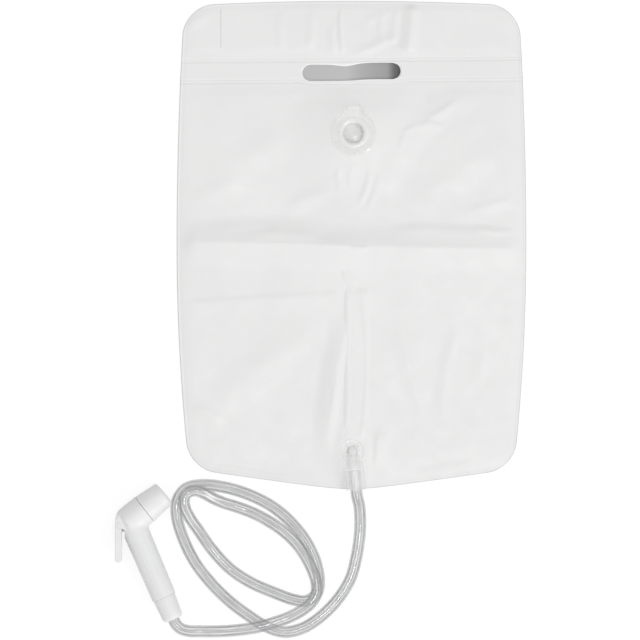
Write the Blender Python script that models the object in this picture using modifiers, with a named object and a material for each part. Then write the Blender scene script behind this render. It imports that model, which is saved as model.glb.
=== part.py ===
"""A camp shower bag, empty and lying on its back, with its hose and lever handset.

Metres, +Z up. The back of the bag lies on the ground at z = 0 with its centre at
the origin. Seen from above, +Y points to the header and +X to the bag's right.
The handset lies on its side, so its own plane is parallel to the ground.
"""

import math

import bmesh
import bpy
import numpy as np
from mathutils import Euler, Matrix, Vector

# Clearances and overruns
SEAT_GAP = 0.0003
OVERRUN = 0.003

# Bag outline
BAG_LENGTH = 0.5124
BAG_WIDTH = 0.367
HEADER_TAPER_SHARE = 0.045
FOOT_TAPER_SHARE = 0.085
HEADER_CORNER = 0.031
FOOT_CORNER = 0.027
HEADER_CROWN = 0.0055
FOOT_DROP = 0.023
FOOT_POINT_SHARE = 0.15

# Films and welds
FILM = 0.0005
EDGE_WELD = 0.0035
HEADER_DEPTH = 0.0616
SEAM_SPACING = 0.0253
WATER_SLACK = 0.005
FOOT_SLACK = 0.0025
FOOT_SLACK_LENGTH = 0.121
FOOT_SLACK_FADE = 0.073
SHOULDER = 0.024
CREASE_Y = 0.0
CREASE_RISE = 0.0012
CREASE_SPREAD = 0.03

# Hand slot
SLOT_DROP = 0.013
SLOT_LENGTH = 0.103
SLOT_HEIGHT = 0.017

# Stiffener between the films of the header
STIFFENER_LENGTH = 0.276
STIFFENER_TOP_MARGIN = 0.0087
STIFFENER_FOOT_MARGIN = 0.0035
STIFFENER_THICKNESS = 0.0008
STIFFENER_CORNER = 0.004
HEADER_SHOULDER = 0.009

# Fill valve
VALVE_X = 0.002
VALVE_DROP = 0.0518
VALVE_FLANGE_RADIUS = 0.024
VALVE_FLANGE_THICKNESS = 0.001
NECK_RADIUS = 0.013
NECK_BORE = 0.011
NECK_HEIGHT = 0.006
NECK_BEAD = 0.0006
PLUG_HEAD_RADIUS = 0.0165
PLUG_HEAD_THICKNESS = 0.0024
PLUG_RIM_RISE = 0.0012
PLUG_RIM_WIDTH = 0.0032
PLUG_FIT = 0.0003
PLUG_TAPER = 0.001
PLUG_DEPTH = 0.006
PLUG_WALL = 0.0013
STRAP_REACH = 0.027
STRAP_WIDTH = 0.014
STRAP_THICKNESS = 0.0014
STRAP_POST_THICKNESS = 0.003
STRAP_POST_MARGIN = 0.0025

# Outlet stub
OUTLET_X = 0.0008
OUTLET_RISE = 0.0399
OUTLET_TURN = math.radians(6)
OUTLET_FLANGE_RADIUS = 0.0126
OUTLET_FLANGE_THICKNESS = 0.0012
OUTLET_HOLE = 0.0056
STUB_HALF_WIDTH = 0.0105
STUB_HALF_HEIGHT = 0.0078
STUB_LENGTH = 0.041
STUB_BORE = 0.004
STUB_DOWN_BORE = 0.0045
STUB_SOCKET_START = 0.02

# Drain channel between the films
CHANNEL_WIDTH = 0.018
CHANNEL_HEIGHT = 0.0022
CHANNEL_WALL = 0.0004
CHANNEL_LENGTH = 0.176
CHANNEL_FOOT_MARGIN = 0.003
CHANNEL_X = 0.0055

# Hose
HOSE_DIAMETER = 0.013
HOSE_PIECES = 76
HOSE_FIT = 0.0003

# Handset: where its elbow lies from the outlet and which way its nose and tail point
ELBOW_ACROSS = -0.2318
ELBOW_ALONG = -0.0719
ELBOW_RADIUS = 0.0163
ELBOW_BACK = 0.0068
ELBOW_BACK_ROUND = 0.0022
NOSE_ANGLE = math.radians(38.4)
TAIL_ANGLE = math.radians(-66.9)
NOSE_SEAM = 0.0179

# Snout and nose cap
SNOUT_RADIUS = 0.0132
SNOUT_LENGTH = 0.009
SNOUT_BORE = 0.011
HEAD_CAVITY_BACK = 0.008
CAP_LENGTH = 0.0267
CAP_SEAM_RADIUS = 0.0161
CAP_FRONT_RADIUS = 0.0138
CAP_FRONT_ROUND = 0.0015
CAP_LIP = 0.0017
CAP_LIP_BORE = 0.0098
CAP_BORE = 0.0116
PLATE_THICKNESS = 0.002
PLATE_HOLE = 0.0007
PLATE_RING_RADIUS = 0.0033
PLATE_RINGS = 2
SEAL_THICKNESS = 0.0016

# Handle and tail
HANDLE_TOP_RADIUS = 0.0139
HANDLE_END_RADIUS = 0.0129
HANDLE_LENGTH = 0.0884
SPIGOT_RADIUS = 0.0094
SPIGOT_LENGTH = 0.01
SOCKET_DEPTH = 0.008
WATERWAY = 0.0045
NUT_LENGTH = 0.0252
NUT_RADIUS = 0.0118
NUT_END_RADIUS = 0.0109
NUT_ROUND = 0.0026
NUT_BORE_LENGTH = 0.0157
HOSE_SEAL_LENGTH = 0.0017
GRIP_LENGTH = 0.0033
GRIP_SLIT = 0.0012

# Lever, its cheeks and pin, from the elbow's centre
LEVER_PIVOT_X = -0.01328
LEVER_PIVOT_Y = -0.00399
LEVER_LENGTH = 0.0373
LEVER_THICKNESS = 0.00724
LEVER_WIDTH = 0.016
LEVER_WALL = 0.0018
LEVER_POCKET_DEPTH = 0.0042
LEVER_POCKET_START = 0.0105
LEVER_POCKET_END = 0.035
CHEEK_RADIUS = 0.0037
CHEEK_WALL = 0.0026
PIN_RADIUS = 0.0012
RECESS_FLOOR_X = -0.0066
RECESS_TOP_MARGIN = 0.0004
LUG_TOP_X = -0.0158
LUG_TOP_Y = 0.0062
RECESS_LENGTH = 0.03

# Valve, along +X from the recess floor
VALVE_LINE_Y = -0.0105
VALVE_BORE = 0.0068
VALVE_BORE_DEPTH = 0.0215
STEM_RADIUS = 0.002
STEM_FIT = 0.0003
GLAND_LENGTH = 0.003
STEM_SEAL_LENGTH = 0.0016
STEM_SEAL_RADIUS = 0.0044
CAGE_BORE = 0.0047
CAGE_WEB = 0.0008
CAGE_LENGTH = 0.0056
CAGE_PORT = 0.0012
SEAT_LENGTH = 0.0018
SEAT_BORE = 0.0034
DISC_RADIUS = 0.0052
DISC_LENGTH = 0.0022
STEM_SHOULDER = 0.0029
STEM_SHOULDER_LENGTH = 0.0007
STEM_COLLAR = 0.0036
STEM_COLLAR_LENGTH = 0.0008
STEM_TAIL = 0.0007
SPRING_RADIUS = 0.0039
SPRING_WIRE = 0.0005
SPRING_TURNS = 5
PASSAGE_RADIUS = 0.0024
PASSAGE_LEAN = 0.002
PASSAGE_LENGTH = 0.0195
INLET_X = 0.0095

# Counts
CORNER_STEPS = 5
CHAMBER_ROWS = 10
BAG_COLUMNS = 24
FINE_SIDES = 40
ROUND_SIDES = 32
SMALL_SIDES = 16
HOLE_SIDES = 6
SPRING_POINTS = 10

# Colours, as linear red, green and blue
FILM_COLOUR = (0.80, 0.80, 0.80, 1.0)
CLEAR_COLOUR = (0.72, 0.73, 0.74, 1.0)
CLEAR_VALVE_COLOUR = (0.74, 0.74, 0.68, 1.0)
SHELL_COLOUR = (0.77, 0.77, 0.77, 1.0)
RUBBER_COLOUR = (0.03, 0.03, 0.03, 1.0)
BRASS_COLOUR = (0.70, 0.55, 0.28, 1.0)
STEEL_COLOUR = (0.60, 0.60, 0.62, 1.0)

# Sizes that follow from the ones above
HEAD_Y = BAG_LENGTH / 2
FOOT_Y = -BAG_LENGTH / 2
UPPER_SEAM_Y = HEAD_Y - HEADER_DEPTH
LOWER_SEAM_Y = UPPER_SEAM_Y - SEAM_SPACING
SLOT_Y = UPPER_SEAM_Y - SLOT_DROP
STIFFENER_TOP_Y = HEAD_Y - STIFFENER_TOP_MARGIN
VALVE_Y = LOWER_SEAM_Y - VALVE_DROP
OUTLET_Y = FOOT_Y + OUTLET_RISE
FOOT_SLACK_END_Y = FOOT_Y + FOOT_SLACK_LENGTH
FOOT_SLACK_TOP_Y = FOOT_SLACK_END_Y + FOOT_SLACK_FADE
ELBOW_X = OUTLET_X + ELBOW_ACROSS
ELBOW_Y = OUTLET_Y + ELBOW_ALONG
STUB_AXIS_Z = FILM + SEAT_GAP + FOOT_SLACK + FILM + SEAT_GAP + STUB_HALF_HEIGHT
VALVE_BASE_Z = FILM + SEAT_GAP + WATER_SLACK + FILM + SEAT_GAP
HOSE_RADIUS = HOSE_DIAMETER / 2
HOSE_BORE = HOSE_RADIUS + HOSE_FIT

# The hose's middle from the outlet, from inside the stub to inside the handset's tail
HOSE_ROUTE = [
    (0.00212, -0.02019, 0.0119),
    (0.00439, -0.04177, 0.0119),
    (0.00491, -0.04674, 0.0119),
    (0.0073, -0.0572, 0.0106),
    (0.0083, -0.0714, 0.0078),
    (0.0077, -0.0892, 0.0067),
    (0.0041, -0.1123, 0.0066),
    (-0.0022, -0.1344, 0.0066),
    (-0.0152, -0.1554, 0.0066),
    (-0.0333, -0.1738, 0.0066),
    (-0.0517, -0.1856, 0.0066),
    (-0.0717, -0.1898, 0.0066),
    (-0.0911, -0.1837, 0.0066),
    (-0.1100, -0.1718, 0.0066),
    (-0.1298, -0.1567, 0.0066),
    (-0.1485, -0.1381, 0.0066),
    (-0.1651, -0.1165, 0.0066),
    (-0.1771, -0.0924, 0.0066),
    (-0.1838, -0.0703, 0.0066),
    (-0.1836, -0.0520, 0.0066),
    (-0.1751, -0.0397, 0.0066),
    (-0.1588, -0.0356, 0.0066),
    (-0.1357, -0.0377, 0.0066),
    (-0.1105, -0.0449, 0.0066),
    (-0.0853, -0.0573, 0.0066),
    (-0.0646, -0.0743, 0.0066),
    (-0.0484, -0.0950, 0.0066),
    (-0.0383, -0.1165, 0.0066),
    (-0.0349, -0.1354, 0.0066),
    (-0.0374, -0.1493, 0.0066),
    (-0.0475, -0.1571, 0.0066),
    (-0.0612, -0.1560, 0.0066),
    (-0.0811, -0.1489, 0.0066),
    (-0.1063, -0.1380, 0.0066),
    (-0.1284, -0.1233, 0.0067),
    (-0.1477, -0.1025, 0.0080),
    (-0.1605, -0.0840, 0.0116),
    (-0.1706, -0.0693, 0.0166),
    (-0.1758, -0.0577, 0.0196),
    (-0.1760, -0.0483, 0.0201),
    (-0.1711, -0.0424, 0.0201),
    (-0.1635, -0.0411, 0.0199),
    (-0.1551, -0.0442, 0.0183),
    (-0.1462, -0.0493, 0.0138),
    (-0.1357, -0.0540, 0.0094),
    (-0.1196, -0.0591, 0.0069),
    (-0.1023, -0.0658, 0.0068),
    (-0.0853, -0.0750, 0.0098),
    (-0.0717, -0.0844, 0.0136),
    (-0.0601, -0.0951, 0.0170),
    (-0.0507, -0.1075, 0.0192),
    (-0.0429, -0.1218, 0.0201),
    (-0.0377, -0.1365, 0.0203),
    (-0.0377, -0.1486, 0.0203),
    (-0.0435, -0.1590, 0.0202),
    (-0.0533, -0.1669, 0.0198),
    (-0.0664, -0.1739, 0.0188),
    (-0.0801, -0.1788, 0.0196),
    (-0.0937, -0.1829, 0.0203),
    (-0.1084, -0.1858, 0.0199),
    (-0.1252, -0.1879, 0.0165),
    (-0.1431, -0.1889, 0.0126),
    (-0.1599, -0.1889, 0.0116),
    (-0.1709, -0.1886, 0.0132),
    (-0.1796, -0.1861, 0.0154),
    (-0.18567, -0.18007, 0.0163),
    (-0.187, -0.17694, 0.0163),
    (-0.19622, -0.15533, 0.0163),
]


def clear_scene():
    for old in list(bpy.data.objects):
        bpy.data.objects.remove(old, do_unlink=True)
    for old in list(bpy.data.collections):
        bpy.data.collections.remove(old)


def new_collection(name):
    made = bpy.data.collections.new(name)
    bpy.context.scene.collection.children.link(made)
    return made


clear_scene()
PIECES = new_collection("camp_shower_bag")
CUTTERS = new_collection("cutters")


def new_material(name, colour, roughness, metallic=0.0, alpha=1.0):
    made = bpy.data.materials.new(name)
    made.use_nodes = True
    shader = made.node_tree.nodes["Principled BSDF"]
    shader.inputs["Base Color"].default_value = colour
    shader.inputs["Roughness"].default_value = roughness
    shader.inputs["Metallic"].default_value = metallic
    shader.inputs["Alpha"].default_value = alpha
    return made


MATERIALS = {
    "film": new_material("film", FILM_COLOUR, 0.45),
    "clear_hose": new_material("clear_hose", CLEAR_COLOUR, 0.08),
    "clear_valve": new_material("clear_valve", CLEAR_VALVE_COLOUR, 0.15),
    "white_shell": new_material("white_shell", SHELL_COLOUR, 0.35),
    "rubber": new_material("rubber", RUBBER_COLOUR, 0.7),
    "brass": new_material("brass", BRASS_COLOUR, 0.3, 1.0),
    "steel": new_material("steel", STEEL_COLOUR, 0.25, 1.0),
}


def add_object(name, mesh, material=None, parent=None, place=None):
    """Put a mesh in the scene as a piece, or as a cutter when it has no material."""
    made = bpy.data.objects.new(name, mesh)
    if material:
        PIECES.objects.link(made)
        mesh.materials.append(MATERIALS[material])
    else:
        CUTTERS.objects.link(made)
        made.hide_render = True
        made.display_type = "WIRE"
    made.parent = parent
    made.matrix_basis = place or Matrix()
    return made


def add_frame(name, place, parent=None):
    """An empty that carries pieces."""
    made = bpy.data.objects.new(name, None)
    PIECES.objects.link(made)
    made.parent = parent
    made.matrix_basis = place
    return made


def combine(target, other, operation):
    step = target.modifiers.new(f"{operation.lower()} {other.name}", "BOOLEAN")
    step.operation = operation
    step.solver = "EXACT"
    step.object = other


def cut(target, *cutters):
    for cutter in cutters:
        combine(target, cutter, "DIFFERENCE")


def fuse(target, *others):
    for other in others:
        combine(target, other, "UNION")


def mesh_from(bm, name):
    mesh = bpy.data.meshes.new(name)
    bm.to_mesh(mesh)
    bm.free()
    return mesh


def turned(name, profile, material=None, parent=None, place=None, sides=ROUND_SIDES, closed=True):
    """A profile of (radius, height) turned about Z. It runs down its outer side."""
    mesh = bpy.data.meshes.new(name)
    count = len(profile)
    edges = [(i, i + 1) for i in range(count - 1)]
    if closed:
        edges.append((count - 1, 0))
    mesh.from_pydata([(radius, 0, height) for radius, height in profile], edges, [])
    made = add_object(name, mesh, material, parent, place)
    turn = made.modifiers.new("turn", "SCREW")
    turn.axis = "Z"
    turn.steps = sides
    turn.render_steps = sides
    turn.use_merge_vertices = True
    turn.merge_threshold = 0.00001
    return made


def ring(name, inner, outer, low, high, material=None, parent=None, place=None, sides=ROUND_SIDES):
    profile = [(outer, high), (outer, low), (inner, low), (inner, high)]
    return turned(name, profile, material, parent, place, sides)


def rod(name, radius, low, high, material=None, parent=None, place=None, sides=ROUND_SIDES):
    profile = [(0, high), (radius, high), (radius, low), (0, low)]
    return turned(name, profile, material, parent, place, sides, closed=False)


def prism(name, outline, low, high, material=None, parent=None, place=None):
    """A flat outline, anticlockwise from above, raised from low to high along Z."""
    bm = bmesh.new()
    foot = [bm.verts.new((x, y, low)) for x, y in outline]
    bm.faces.new(list(reversed(foot)))
    raised = bmesh.ops.extrude_face_region(bm, geom=bm.faces[:])
    top = [item for item in raised["geom"] if isinstance(item, bmesh.types.BMVert)]
    bmesh.ops.translate(bm, verts=top, vec=(0, 0, high - low))
    bmesh.ops.recalc_face_normals(bm, faces=bm.faces[:])
    return add_object(name, mesh_from(bm, name), material, parent, place)


def block(name, low, high, material=None, parent=None, place=None):
    """A box between two corners."""
    bm = bmesh.new()
    bmesh.ops.create_cube(bm, size=1.0)
    low, high = Vector(low), Vector(high)
    size = high - low
    bmesh.ops.scale(bm, vec=size, verts=bm.verts[:])
    bmesh.ops.translate(bm, vec=(low + high) / 2, verts=bm.verts[:])
    return add_object(name, mesh_from(bm, name), material, parent, place)


def soften(target, width, segments=2):
    """Round the edges of a piece."""
    step = target.modifiers.new("round edges", "BEVEL")
    step.width = width
    step.segments = segments
    step.limit_method = "ANGLE"


def arc(centre, radius, start, end, steps):
    angles = np.linspace(start, end, steps + 1)
    return [(centre[0] + radius * math.cos(a), centre[1] + radius * math.sin(a)) for a in angles]


def pill(centre, length, height, steps=8):
    """An outline with two half-round ends."""
    radius = height / 2
    reach = length / 2 - radius
    right = arc((centre[0] + reach, centre[1]), radius, -math.pi / 2, math.pi / 2, steps)
    left = arc((centre[0] - reach, centre[1]), radius, math.pi / 2, 3 * math.pi / 2, steps)
    return right + left


def ease(value):
    value = min(max(value, 0.0), 1.0)
    return value * value * (3 - 2 * value)


def pointing(angle, distance=0.0, height=0.0):
    """A place whose Z axis lies flat and points at an angle, some distance along it."""
    turn = Euler((0, math.pi / 2, angle)).to_matrix().to_4x4()
    away = Vector((distance * math.cos(angle), distance * math.sin(angle), height))
    return Matrix.Translation(away) @ turn


def side_levels():
    """The levels of the bag's side edges at which rows of the film lie."""
    foot = FOOT_Y + FOOT_DROP
    head = HEAD_Y - HEADER_CROWN
    turns = [math.pi / 2 * i / CORNER_STEPS for i in range(CORNER_STEPS + 1)]
    rows = [foot + FOOT_CORNER * (1 - math.cos(a)) for a in turns]

    def between(low, high, count):
        """Levels that lie closer together towards both ends."""
        for i in range(1, count + 1):
            even = i / count
            eased = (1 - math.cos(math.pi * even)) / 2
            rows.append(low + (high - low) * (even + eased) / 2)

    between(rows[-1], CREASE_Y, CHAMBER_ROWS)
    between(CREASE_Y, LOWER_SEAM_Y, CHAMBER_ROWS)
    rows.append(UPPER_SEAM_Y)
    corner_start = head - HEADER_CORNER
    rows.append(UPPER_SEAM_Y + HEADER_SHOULDER)
    rows.append(corner_start)
    rows += [head - HEADER_CORNER * (1 - math.cos(a)) for a in reversed(turns[:-1])]
    return rows


def column_shares():
    """Places across the bag from -1 to 1, closer together near the sides."""
    even = np.linspace(-1, 1, BAG_COLUMNS + 1)
    return (even + np.sin(even * math.pi / 2)) / 2


def half_width(level):
    taper = HEADER_TAPER_SHARE if level > 0 else FOOT_TAPER_SHARE
    return BAG_WIDTH / 2 * (1 - taper * (2 * level / BAG_LENGTH) ** 2)


def foot_rise(x):
    """How far the foot's shallow point has risen at a distance from the middle."""
    share = abs(x) / (BAG_WIDTH / 2)
    point = FOOT_POINT_SHARE
    whole = math.hypot(1, point) - point
    return FOOT_DROP * (math.hypot(share, point) - point) / whole


def edge_reach(level):
    """How far from the middle the film's edge lies at a level, corners included."""
    foot = FOOT_Y + FOOT_DROP
    head = HEAD_Y - HEADER_CROWN
    reach = half_width(level)
    for radius, depth in ((HEADER_CORNER, head - level), (FOOT_CORNER, level - foot)):
        if depth < radius:
            reach -= radius - math.sqrt(max(radius**2 - (radius - max(depth, 0)) ** 2, 0))
    return reach


def film_point(across, level):
    """Where a share of the bag's width and a side level lie on the flat film."""
    foot = FOOT_Y + FOOT_DROP
    head = HEAD_Y - HEADER_CROWN
    x = across * edge_reach(level)
    share = abs(x) / (BAG_WIDTH / 2)
    y = level
    if level > UPPER_SEAM_Y:
        y += HEADER_CROWN * (1 - share**2) * ((level - UPPER_SEAM_Y) / (head - UPPER_SEAM_Y)) ** 2
    if level < CREASE_Y:
        y -= (FOOT_DROP - foot_rise(x)) * ((CREASE_Y - level) / (CREASE_Y - foot)) ** 2
    return x, y


def film_outline():
    """The bag's outline, anticlockwise from the foot's left corner."""
    rows = side_levels()
    columns = column_shares()
    foot = [film_point(u, rows[0]) for u in columns]
    right = [film_point(1, level) for level in rows[1:]]
    head = [film_point(u, rows[-1]) for u in reversed(columns[:-1])]
    left = [film_point(-1, level) for level in reversed(rows[1:-1])]
    return foot + right + head + left


def slack(y):
    """How far the films stand apart over the water space at a level."""
    toward_foot = (FOOT_SLACK_TOP_Y - y) / (FOOT_SLACK_TOP_Y - FOOT_SLACK_END_Y)
    return WATER_SLACK + (FOOT_SLACK - WATER_SLACK) * ease(toward_foot)


def front_film_height(x, y):
    """The height of the front film's inner face over a point of the bag."""
    rest = FILM + SEAT_GAP
    to_side = half_width(y) - EDGE_WELD - abs(x)
    if y > UPPER_SEAM_Y:
        to_head = HEAD_Y - HEADER_CROWN - EDGE_WELD - y
        near = ease(to_side / HEADER_SHOULDER) * ease((y - UPPER_SEAM_Y) / HEADER_SHOULDER)
        # The edge of the header stays down where no stiffener lies under it.
        inside = ease(1 + to_head / HEADER_SHOULDER)
        return rest + (STIFFENER_THICKNESS + SEAT_GAP) * near * inside
    to_seam = LOWER_SEAM_Y - y
    to_foot = y - FOOT_Y - foot_rise(x) - EDGE_WELD
    fullness = ease(to_side / SHOULDER) * ease(to_seam / SHOULDER) * ease(to_foot / SHOULDER)
    crease = CREASE_RISE * max(0, 1 - abs(y - CREASE_Y) / CREASE_SPREAD)
    return rest + (slack(y) + crease) * fullness


def slot_cutter(name):
    outline = pill((0, SLOT_Y), SLOT_LENGTH, SLOT_HEIGHT)
    return prism(name, outline, -OVERRUN, FILM * 2 + SEAT_GAP + OVERRUN)


def thicken(target, thickness):
    step = target.modifiers.new("film", "SOLIDIFY")
    step.thickness = thickness
    step.offset = 1


def build_rear_panel():
    bm = bmesh.new()
    bm.faces.new([bm.verts.new((x, y, 0)) for x, y in film_outline()])
    panel = add_object("rear_panel", mesh_from(bm, "rear_panel"), "film")
    thicken(panel, FILM)
    cut(panel, slot_cutter("rear_slot"))


def build_front_panel():
    """A grid drawn to the bag's outline and raised over the water space and header."""
    rows = side_levels()
    columns = column_shares()
    bm = bmesh.new()
    bmesh.ops.create_grid(bm, x_segments=BAG_COLUMNS, y_segments=len(rows) - 1, size=1.0)
    for point in bm.verts:
        column = round((point.co.x + 1) / 2 * BAG_COLUMNS)
        row = round((point.co.y + 1) / 2 * (len(rows) - 1))
        x, y = film_point(columns[column], rows[row])
        point.co = (x, y, front_film_height(x, y))
    panel = add_object("front_panel", mesh_from(bm, "front_panel"), "film")
    thicken(panel, FILM)
    top = VALVE_BASE_Z + OVERRUN
    fill = Matrix.Translation((VALVE_X, VALVE_Y, 0))
    outlet = Matrix.Translation((OUTLET_X, OUTLET_Y, 0))
    cut(
        panel,
        slot_cutter("front_slot"),
        rod("fill_hole", NECK_BORE, FILM, top, place=fill),
        rod("outlet_hole", OUTLET_HOLE, FILM, top, place=outlet, sides=SMALL_SIDES),
    )


def build_header_stiffener():
    low = UPPER_SEAM_Y + STIFFENER_FOOT_MARGIN + HEADER_SHOULDER
    half = STIFFENER_LENGTH / 2
    inner = half - STIFFENER_CORNER
    quarter = math.pi / 2
    corners = [
        ((inner, low + STIFFENER_CORNER), -quarter),
        ((inner, STIFFENER_TOP_Y - STIFFENER_CORNER), 0),
        ((-inner, STIFFENER_TOP_Y - STIFFENER_CORNER), quarter),
        ((-inner, low + STIFFENER_CORNER), 2 * quarter),
    ]
    outline = []
    for centre, start in corners:
        outline += arc(centre, STIFFENER_CORNER, start, start + quarter, 3)
    base = FILM + SEAT_GAP
    prism("header_stiffener", outline, base, base + STIFFENER_THICKNESS, "film")


def build_fill_valve():
    """The welded base with its strap post, and the plug that turns on the post."""
    base_frame = add_frame("fill_valve_frame", Matrix.Translation((VALVE_X, VALVE_Y, VALVE_BASE_Z)))
    flange_edge = VALVE_FLANGE_THICKNESS / 2
    profile = [
        (NECK_RADIUS, NECK_HEIGHT),
        (NECK_RADIUS + NECK_BEAD, NECK_HEIGHT - NECK_BEAD),
        (NECK_RADIUS, NECK_HEIGHT - 2 * NECK_BEAD),
        (NECK_RADIUS, VALVE_FLANGE_THICKNESS),
        (VALVE_FLANGE_RADIUS - flange_edge, VALVE_FLANGE_THICKNESS),
        (VALVE_FLANGE_RADIUS, flange_edge),
        (VALVE_FLANGE_RADIUS, 0),
        (NECK_BORE, 0),
        (NECK_BORE, NECK_HEIGHT),
    ]
    base = turned("fill_base", profile, "clear_valve", base_frame, sides=FINE_SIDES)
    strap_z = NECK_HEIGHT + SEAT_GAP + PLUG_HEAD_THICKNESS / 2
    barrel = STRAP_THICKNESS / 2 + SEAT_GAP
    half_post = STRAP_POST_THICKNESS / 2
    tongue_end = STRAP_REACH + half_post + STRAP_POST_MARGIN
    half_strap = STRAP_WIDTH / 2
    tongue_start = (NECK_RADIUS + VALVE_FLANGE_RADIUS) / 2
    tongue = block(
        "strap_tongue",
        (-half_strap, tongue_start, 0),
        (half_strap, tongue_end, VALVE_FLANGE_THICKNESS),
        parent=base_frame,
    )
    post = block(
        "strap_post",
        (-half_strap, STRAP_REACH - half_post, VALVE_FLANGE_THICKNESS / 2),
        (half_strap, STRAP_REACH + half_post, strap_z - barrel - SEAT_GAP),
        parent=base_frame,
    )
    fuse(base, tongue, post)

    hinge = add_frame("plug_hinge", Matrix.Translation((0, STRAP_REACH, strap_z)), base_frame)
    to_centre = Matrix.Translation((0, -STRAP_REACH, -PLUG_HEAD_THICKNESS / 2))
    rim_top = PLUG_HEAD_THICKNESS + PLUG_RIM_RISE
    plug_top = NECK_BORE - PLUG_FIT
    plug_foot = plug_top - PLUG_TAPER
    cup = plug_foot - PLUG_WALL
    rim_inner = PLUG_HEAD_RADIUS - PLUG_RIM_RISE - PLUG_RIM_WIDTH
    edge = PLUG_RIM_RISE / 2
    profile = [
        (0, PLUG_WALL - PLUG_DEPTH),
        (cup, PLUG_WALL - PLUG_DEPTH),
        (plug_top - PLUG_WALL, edge),
        (rim_inner, rim_top - edge),
        (rim_inner + edge, rim_top),
        (PLUG_HEAD_RADIUS - PLUG_RIM_RISE, rim_top),
        (PLUG_HEAD_RADIUS, PLUG_HEAD_THICKNESS),
        (PLUG_HEAD_RADIUS, edge),
        (PLUG_HEAD_RADIUS - edge, 0),
        (plug_top, 0),
        (plug_foot, edge - PLUG_DEPTH),
        (plug_foot - edge, -PLUG_DEPTH),
        (0, -PLUG_DEPTH),
    ]
    plug = turned(
        "fill_plug", profile, "clear_valve", hinge, to_centre, sides=FINE_SIDES, closed=False
    )
    half_thick = STRAP_THICKNESS / 2
    strap = block(
        "strap_bar",
        (-half_strap, PLUG_HEAD_RADIUS - STRAP_REACH - PLUG_RIM_WIDTH, -half_thick),
        (half_strap, 0, half_thick),
        parent=hinge,
    )
    across = Matrix.Rotation(math.pi / 2, 4, "Y")
    knuckle = rod(
        "strap_knuckle", barrel, -half_strap, half_strap, parent=hinge, place=across,
        sides=SMALL_SIDES,
    )
    fuse(plug, strap, knuckle)


def build_outlet_stub():
    """A flat-sided soft sleeve on a round flange, with a bore that turns down."""
    frame = add_frame("outlet_frame", Matrix.Translation((OUTLET_X, OUTLET_Y, STUB_AXIS_Z)))
    toward_foot = OUTLET_TURN - math.pi / 2
    flat = Matrix.Scale(STUB_HALF_WIDTH / STUB_HALF_HEIGHT, 4, Vector((0, 1, 0)))
    nose_profile = [(0, -STUB_HALF_WIDTH)]
    steps = 5
    for i in range(1, steps + 1):
        a = math.pi / 2 * i / steps
        nose_profile.append((STUB_HALF_HEIGHT * math.sin(a), -STUB_HALF_WIDTH * math.cos(a)))
    profile = [(0, STUB_LENGTH), (STUB_HALF_HEIGHT - STUB_BORE / 8, STUB_LENGTH)]
    profile.append((STUB_HALF_HEIGHT, STUB_LENGTH - STUB_BORE / 8))
    profile += list(reversed(nose_profile))
    stub = turned(
        "outlet_stub", profile, "clear_valve", frame, pointing(toward_foot) @ flat, closed=False
    )
    foot_z = -STUB_HALF_HEIGHT
    flange = turned(
        "outlet_flange",
        [
            (0, foot_z + OUTLET_FLANGE_THICKNESS),
            (OUTLET_FLANGE_RADIUS - OUTLET_FLANGE_THICKNESS / 2, foot_z + OUTLET_FLANGE_THICKNESS),
            (OUTLET_FLANGE_RADIUS, foot_z + OUTLET_FLANGE_THICKNESS / 2),
            (OUTLET_FLANGE_RADIUS, foot_z),
            (0, foot_z),
        ],
        parent=frame,
        closed=False,
    )
    fuse(stub, flange)
    cut(
        stub,
        rod("stub_down", STUB_DOWN_BORE, foot_z - OVERRUN, STUB_BORE / 2, parent=frame,
            sides=SMALL_SIDES),
        rod("stub_along", STUB_BORE, 0, STUB_SOCKET_START + OVERRUN, parent=frame,
            place=pointing(toward_foot), sides=SMALL_SIDES),
        rod("stub_socket", HOSE_BORE, STUB_SOCKET_START, STUB_LENGTH + OVERRUN, parent=frame,
            place=pointing(toward_foot), sides=SMALL_SIDES),
    )


def build_drain_channel():
    """A flat soft tube between the films, open at both ends, past the outlet."""
    foot = OUTLET_Y - OUTLET_FLANGE_RADIUS + CHANNEL_FOOT_MARGIN
    top = foot + CHANNEL_LENGTH
    base = FILM + SEAT_GAP
    middle = (CHANNEL_X, base + CHANNEL_HEIGHT / 2)
    upright = Matrix.Rotation(math.pi / 2, 4, "X")
    inner_width = CHANNEL_WIDTH - 2 * CHANNEL_WALL
    inner_height = CHANNEL_HEIGHT - 2 * CHANNEL_WALL
    tube = prism(
        "drain_channel", pill(middle, CHANNEL_WIDTH, CHANNEL_HEIGHT, 4),
        -top, -foot, "film", place=upright,
    )
    hollow = prism(
        "channel_hollow", pill(middle, inner_width, inner_height, 4),
        -top - OVERRUN, -foot + OVERRUN, place=upright,
    )
    cut(tube, hollow)


def smooth_route(points, step):
    """A smooth curve through points: cubic pieces whose speed follows the root of each chord."""
    chosen = np.array(points)
    ends = np.vstack([2 * chosen[0] - chosen[1], chosen, 2 * chosen[-1] - chosen[-2]])
    pieces = []
    for a, b, c, d in zip(ends, ends[1:], ends[2:], ends[3:]):
        before, here, after = (math.sqrt(np.linalg.norm(q - p)) for p, q in ((a, b), (b, c), (c, d)))
        start = here * ((b - a) / before - (c - a) / (before + here) + (c - b) / here)
        end = here * ((c - b) / here - (d - b) / (here + after) + (d - c) / after)
        count = max(2, math.ceil(np.linalg.norm(c - b) / step))
        t = np.linspace(0, 1, count, endpoint=False)[:, None]
        pieces.append(
            (2 * t**3 - 3 * t**2 + 1) * b + (t**3 - 2 * t**2 + t) * start
            + (3 * t**2 - 2 * t**3) * c + (t**3 - t**2) * end
        )
    return np.vstack([*pieces, chosen[-1:]])


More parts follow.
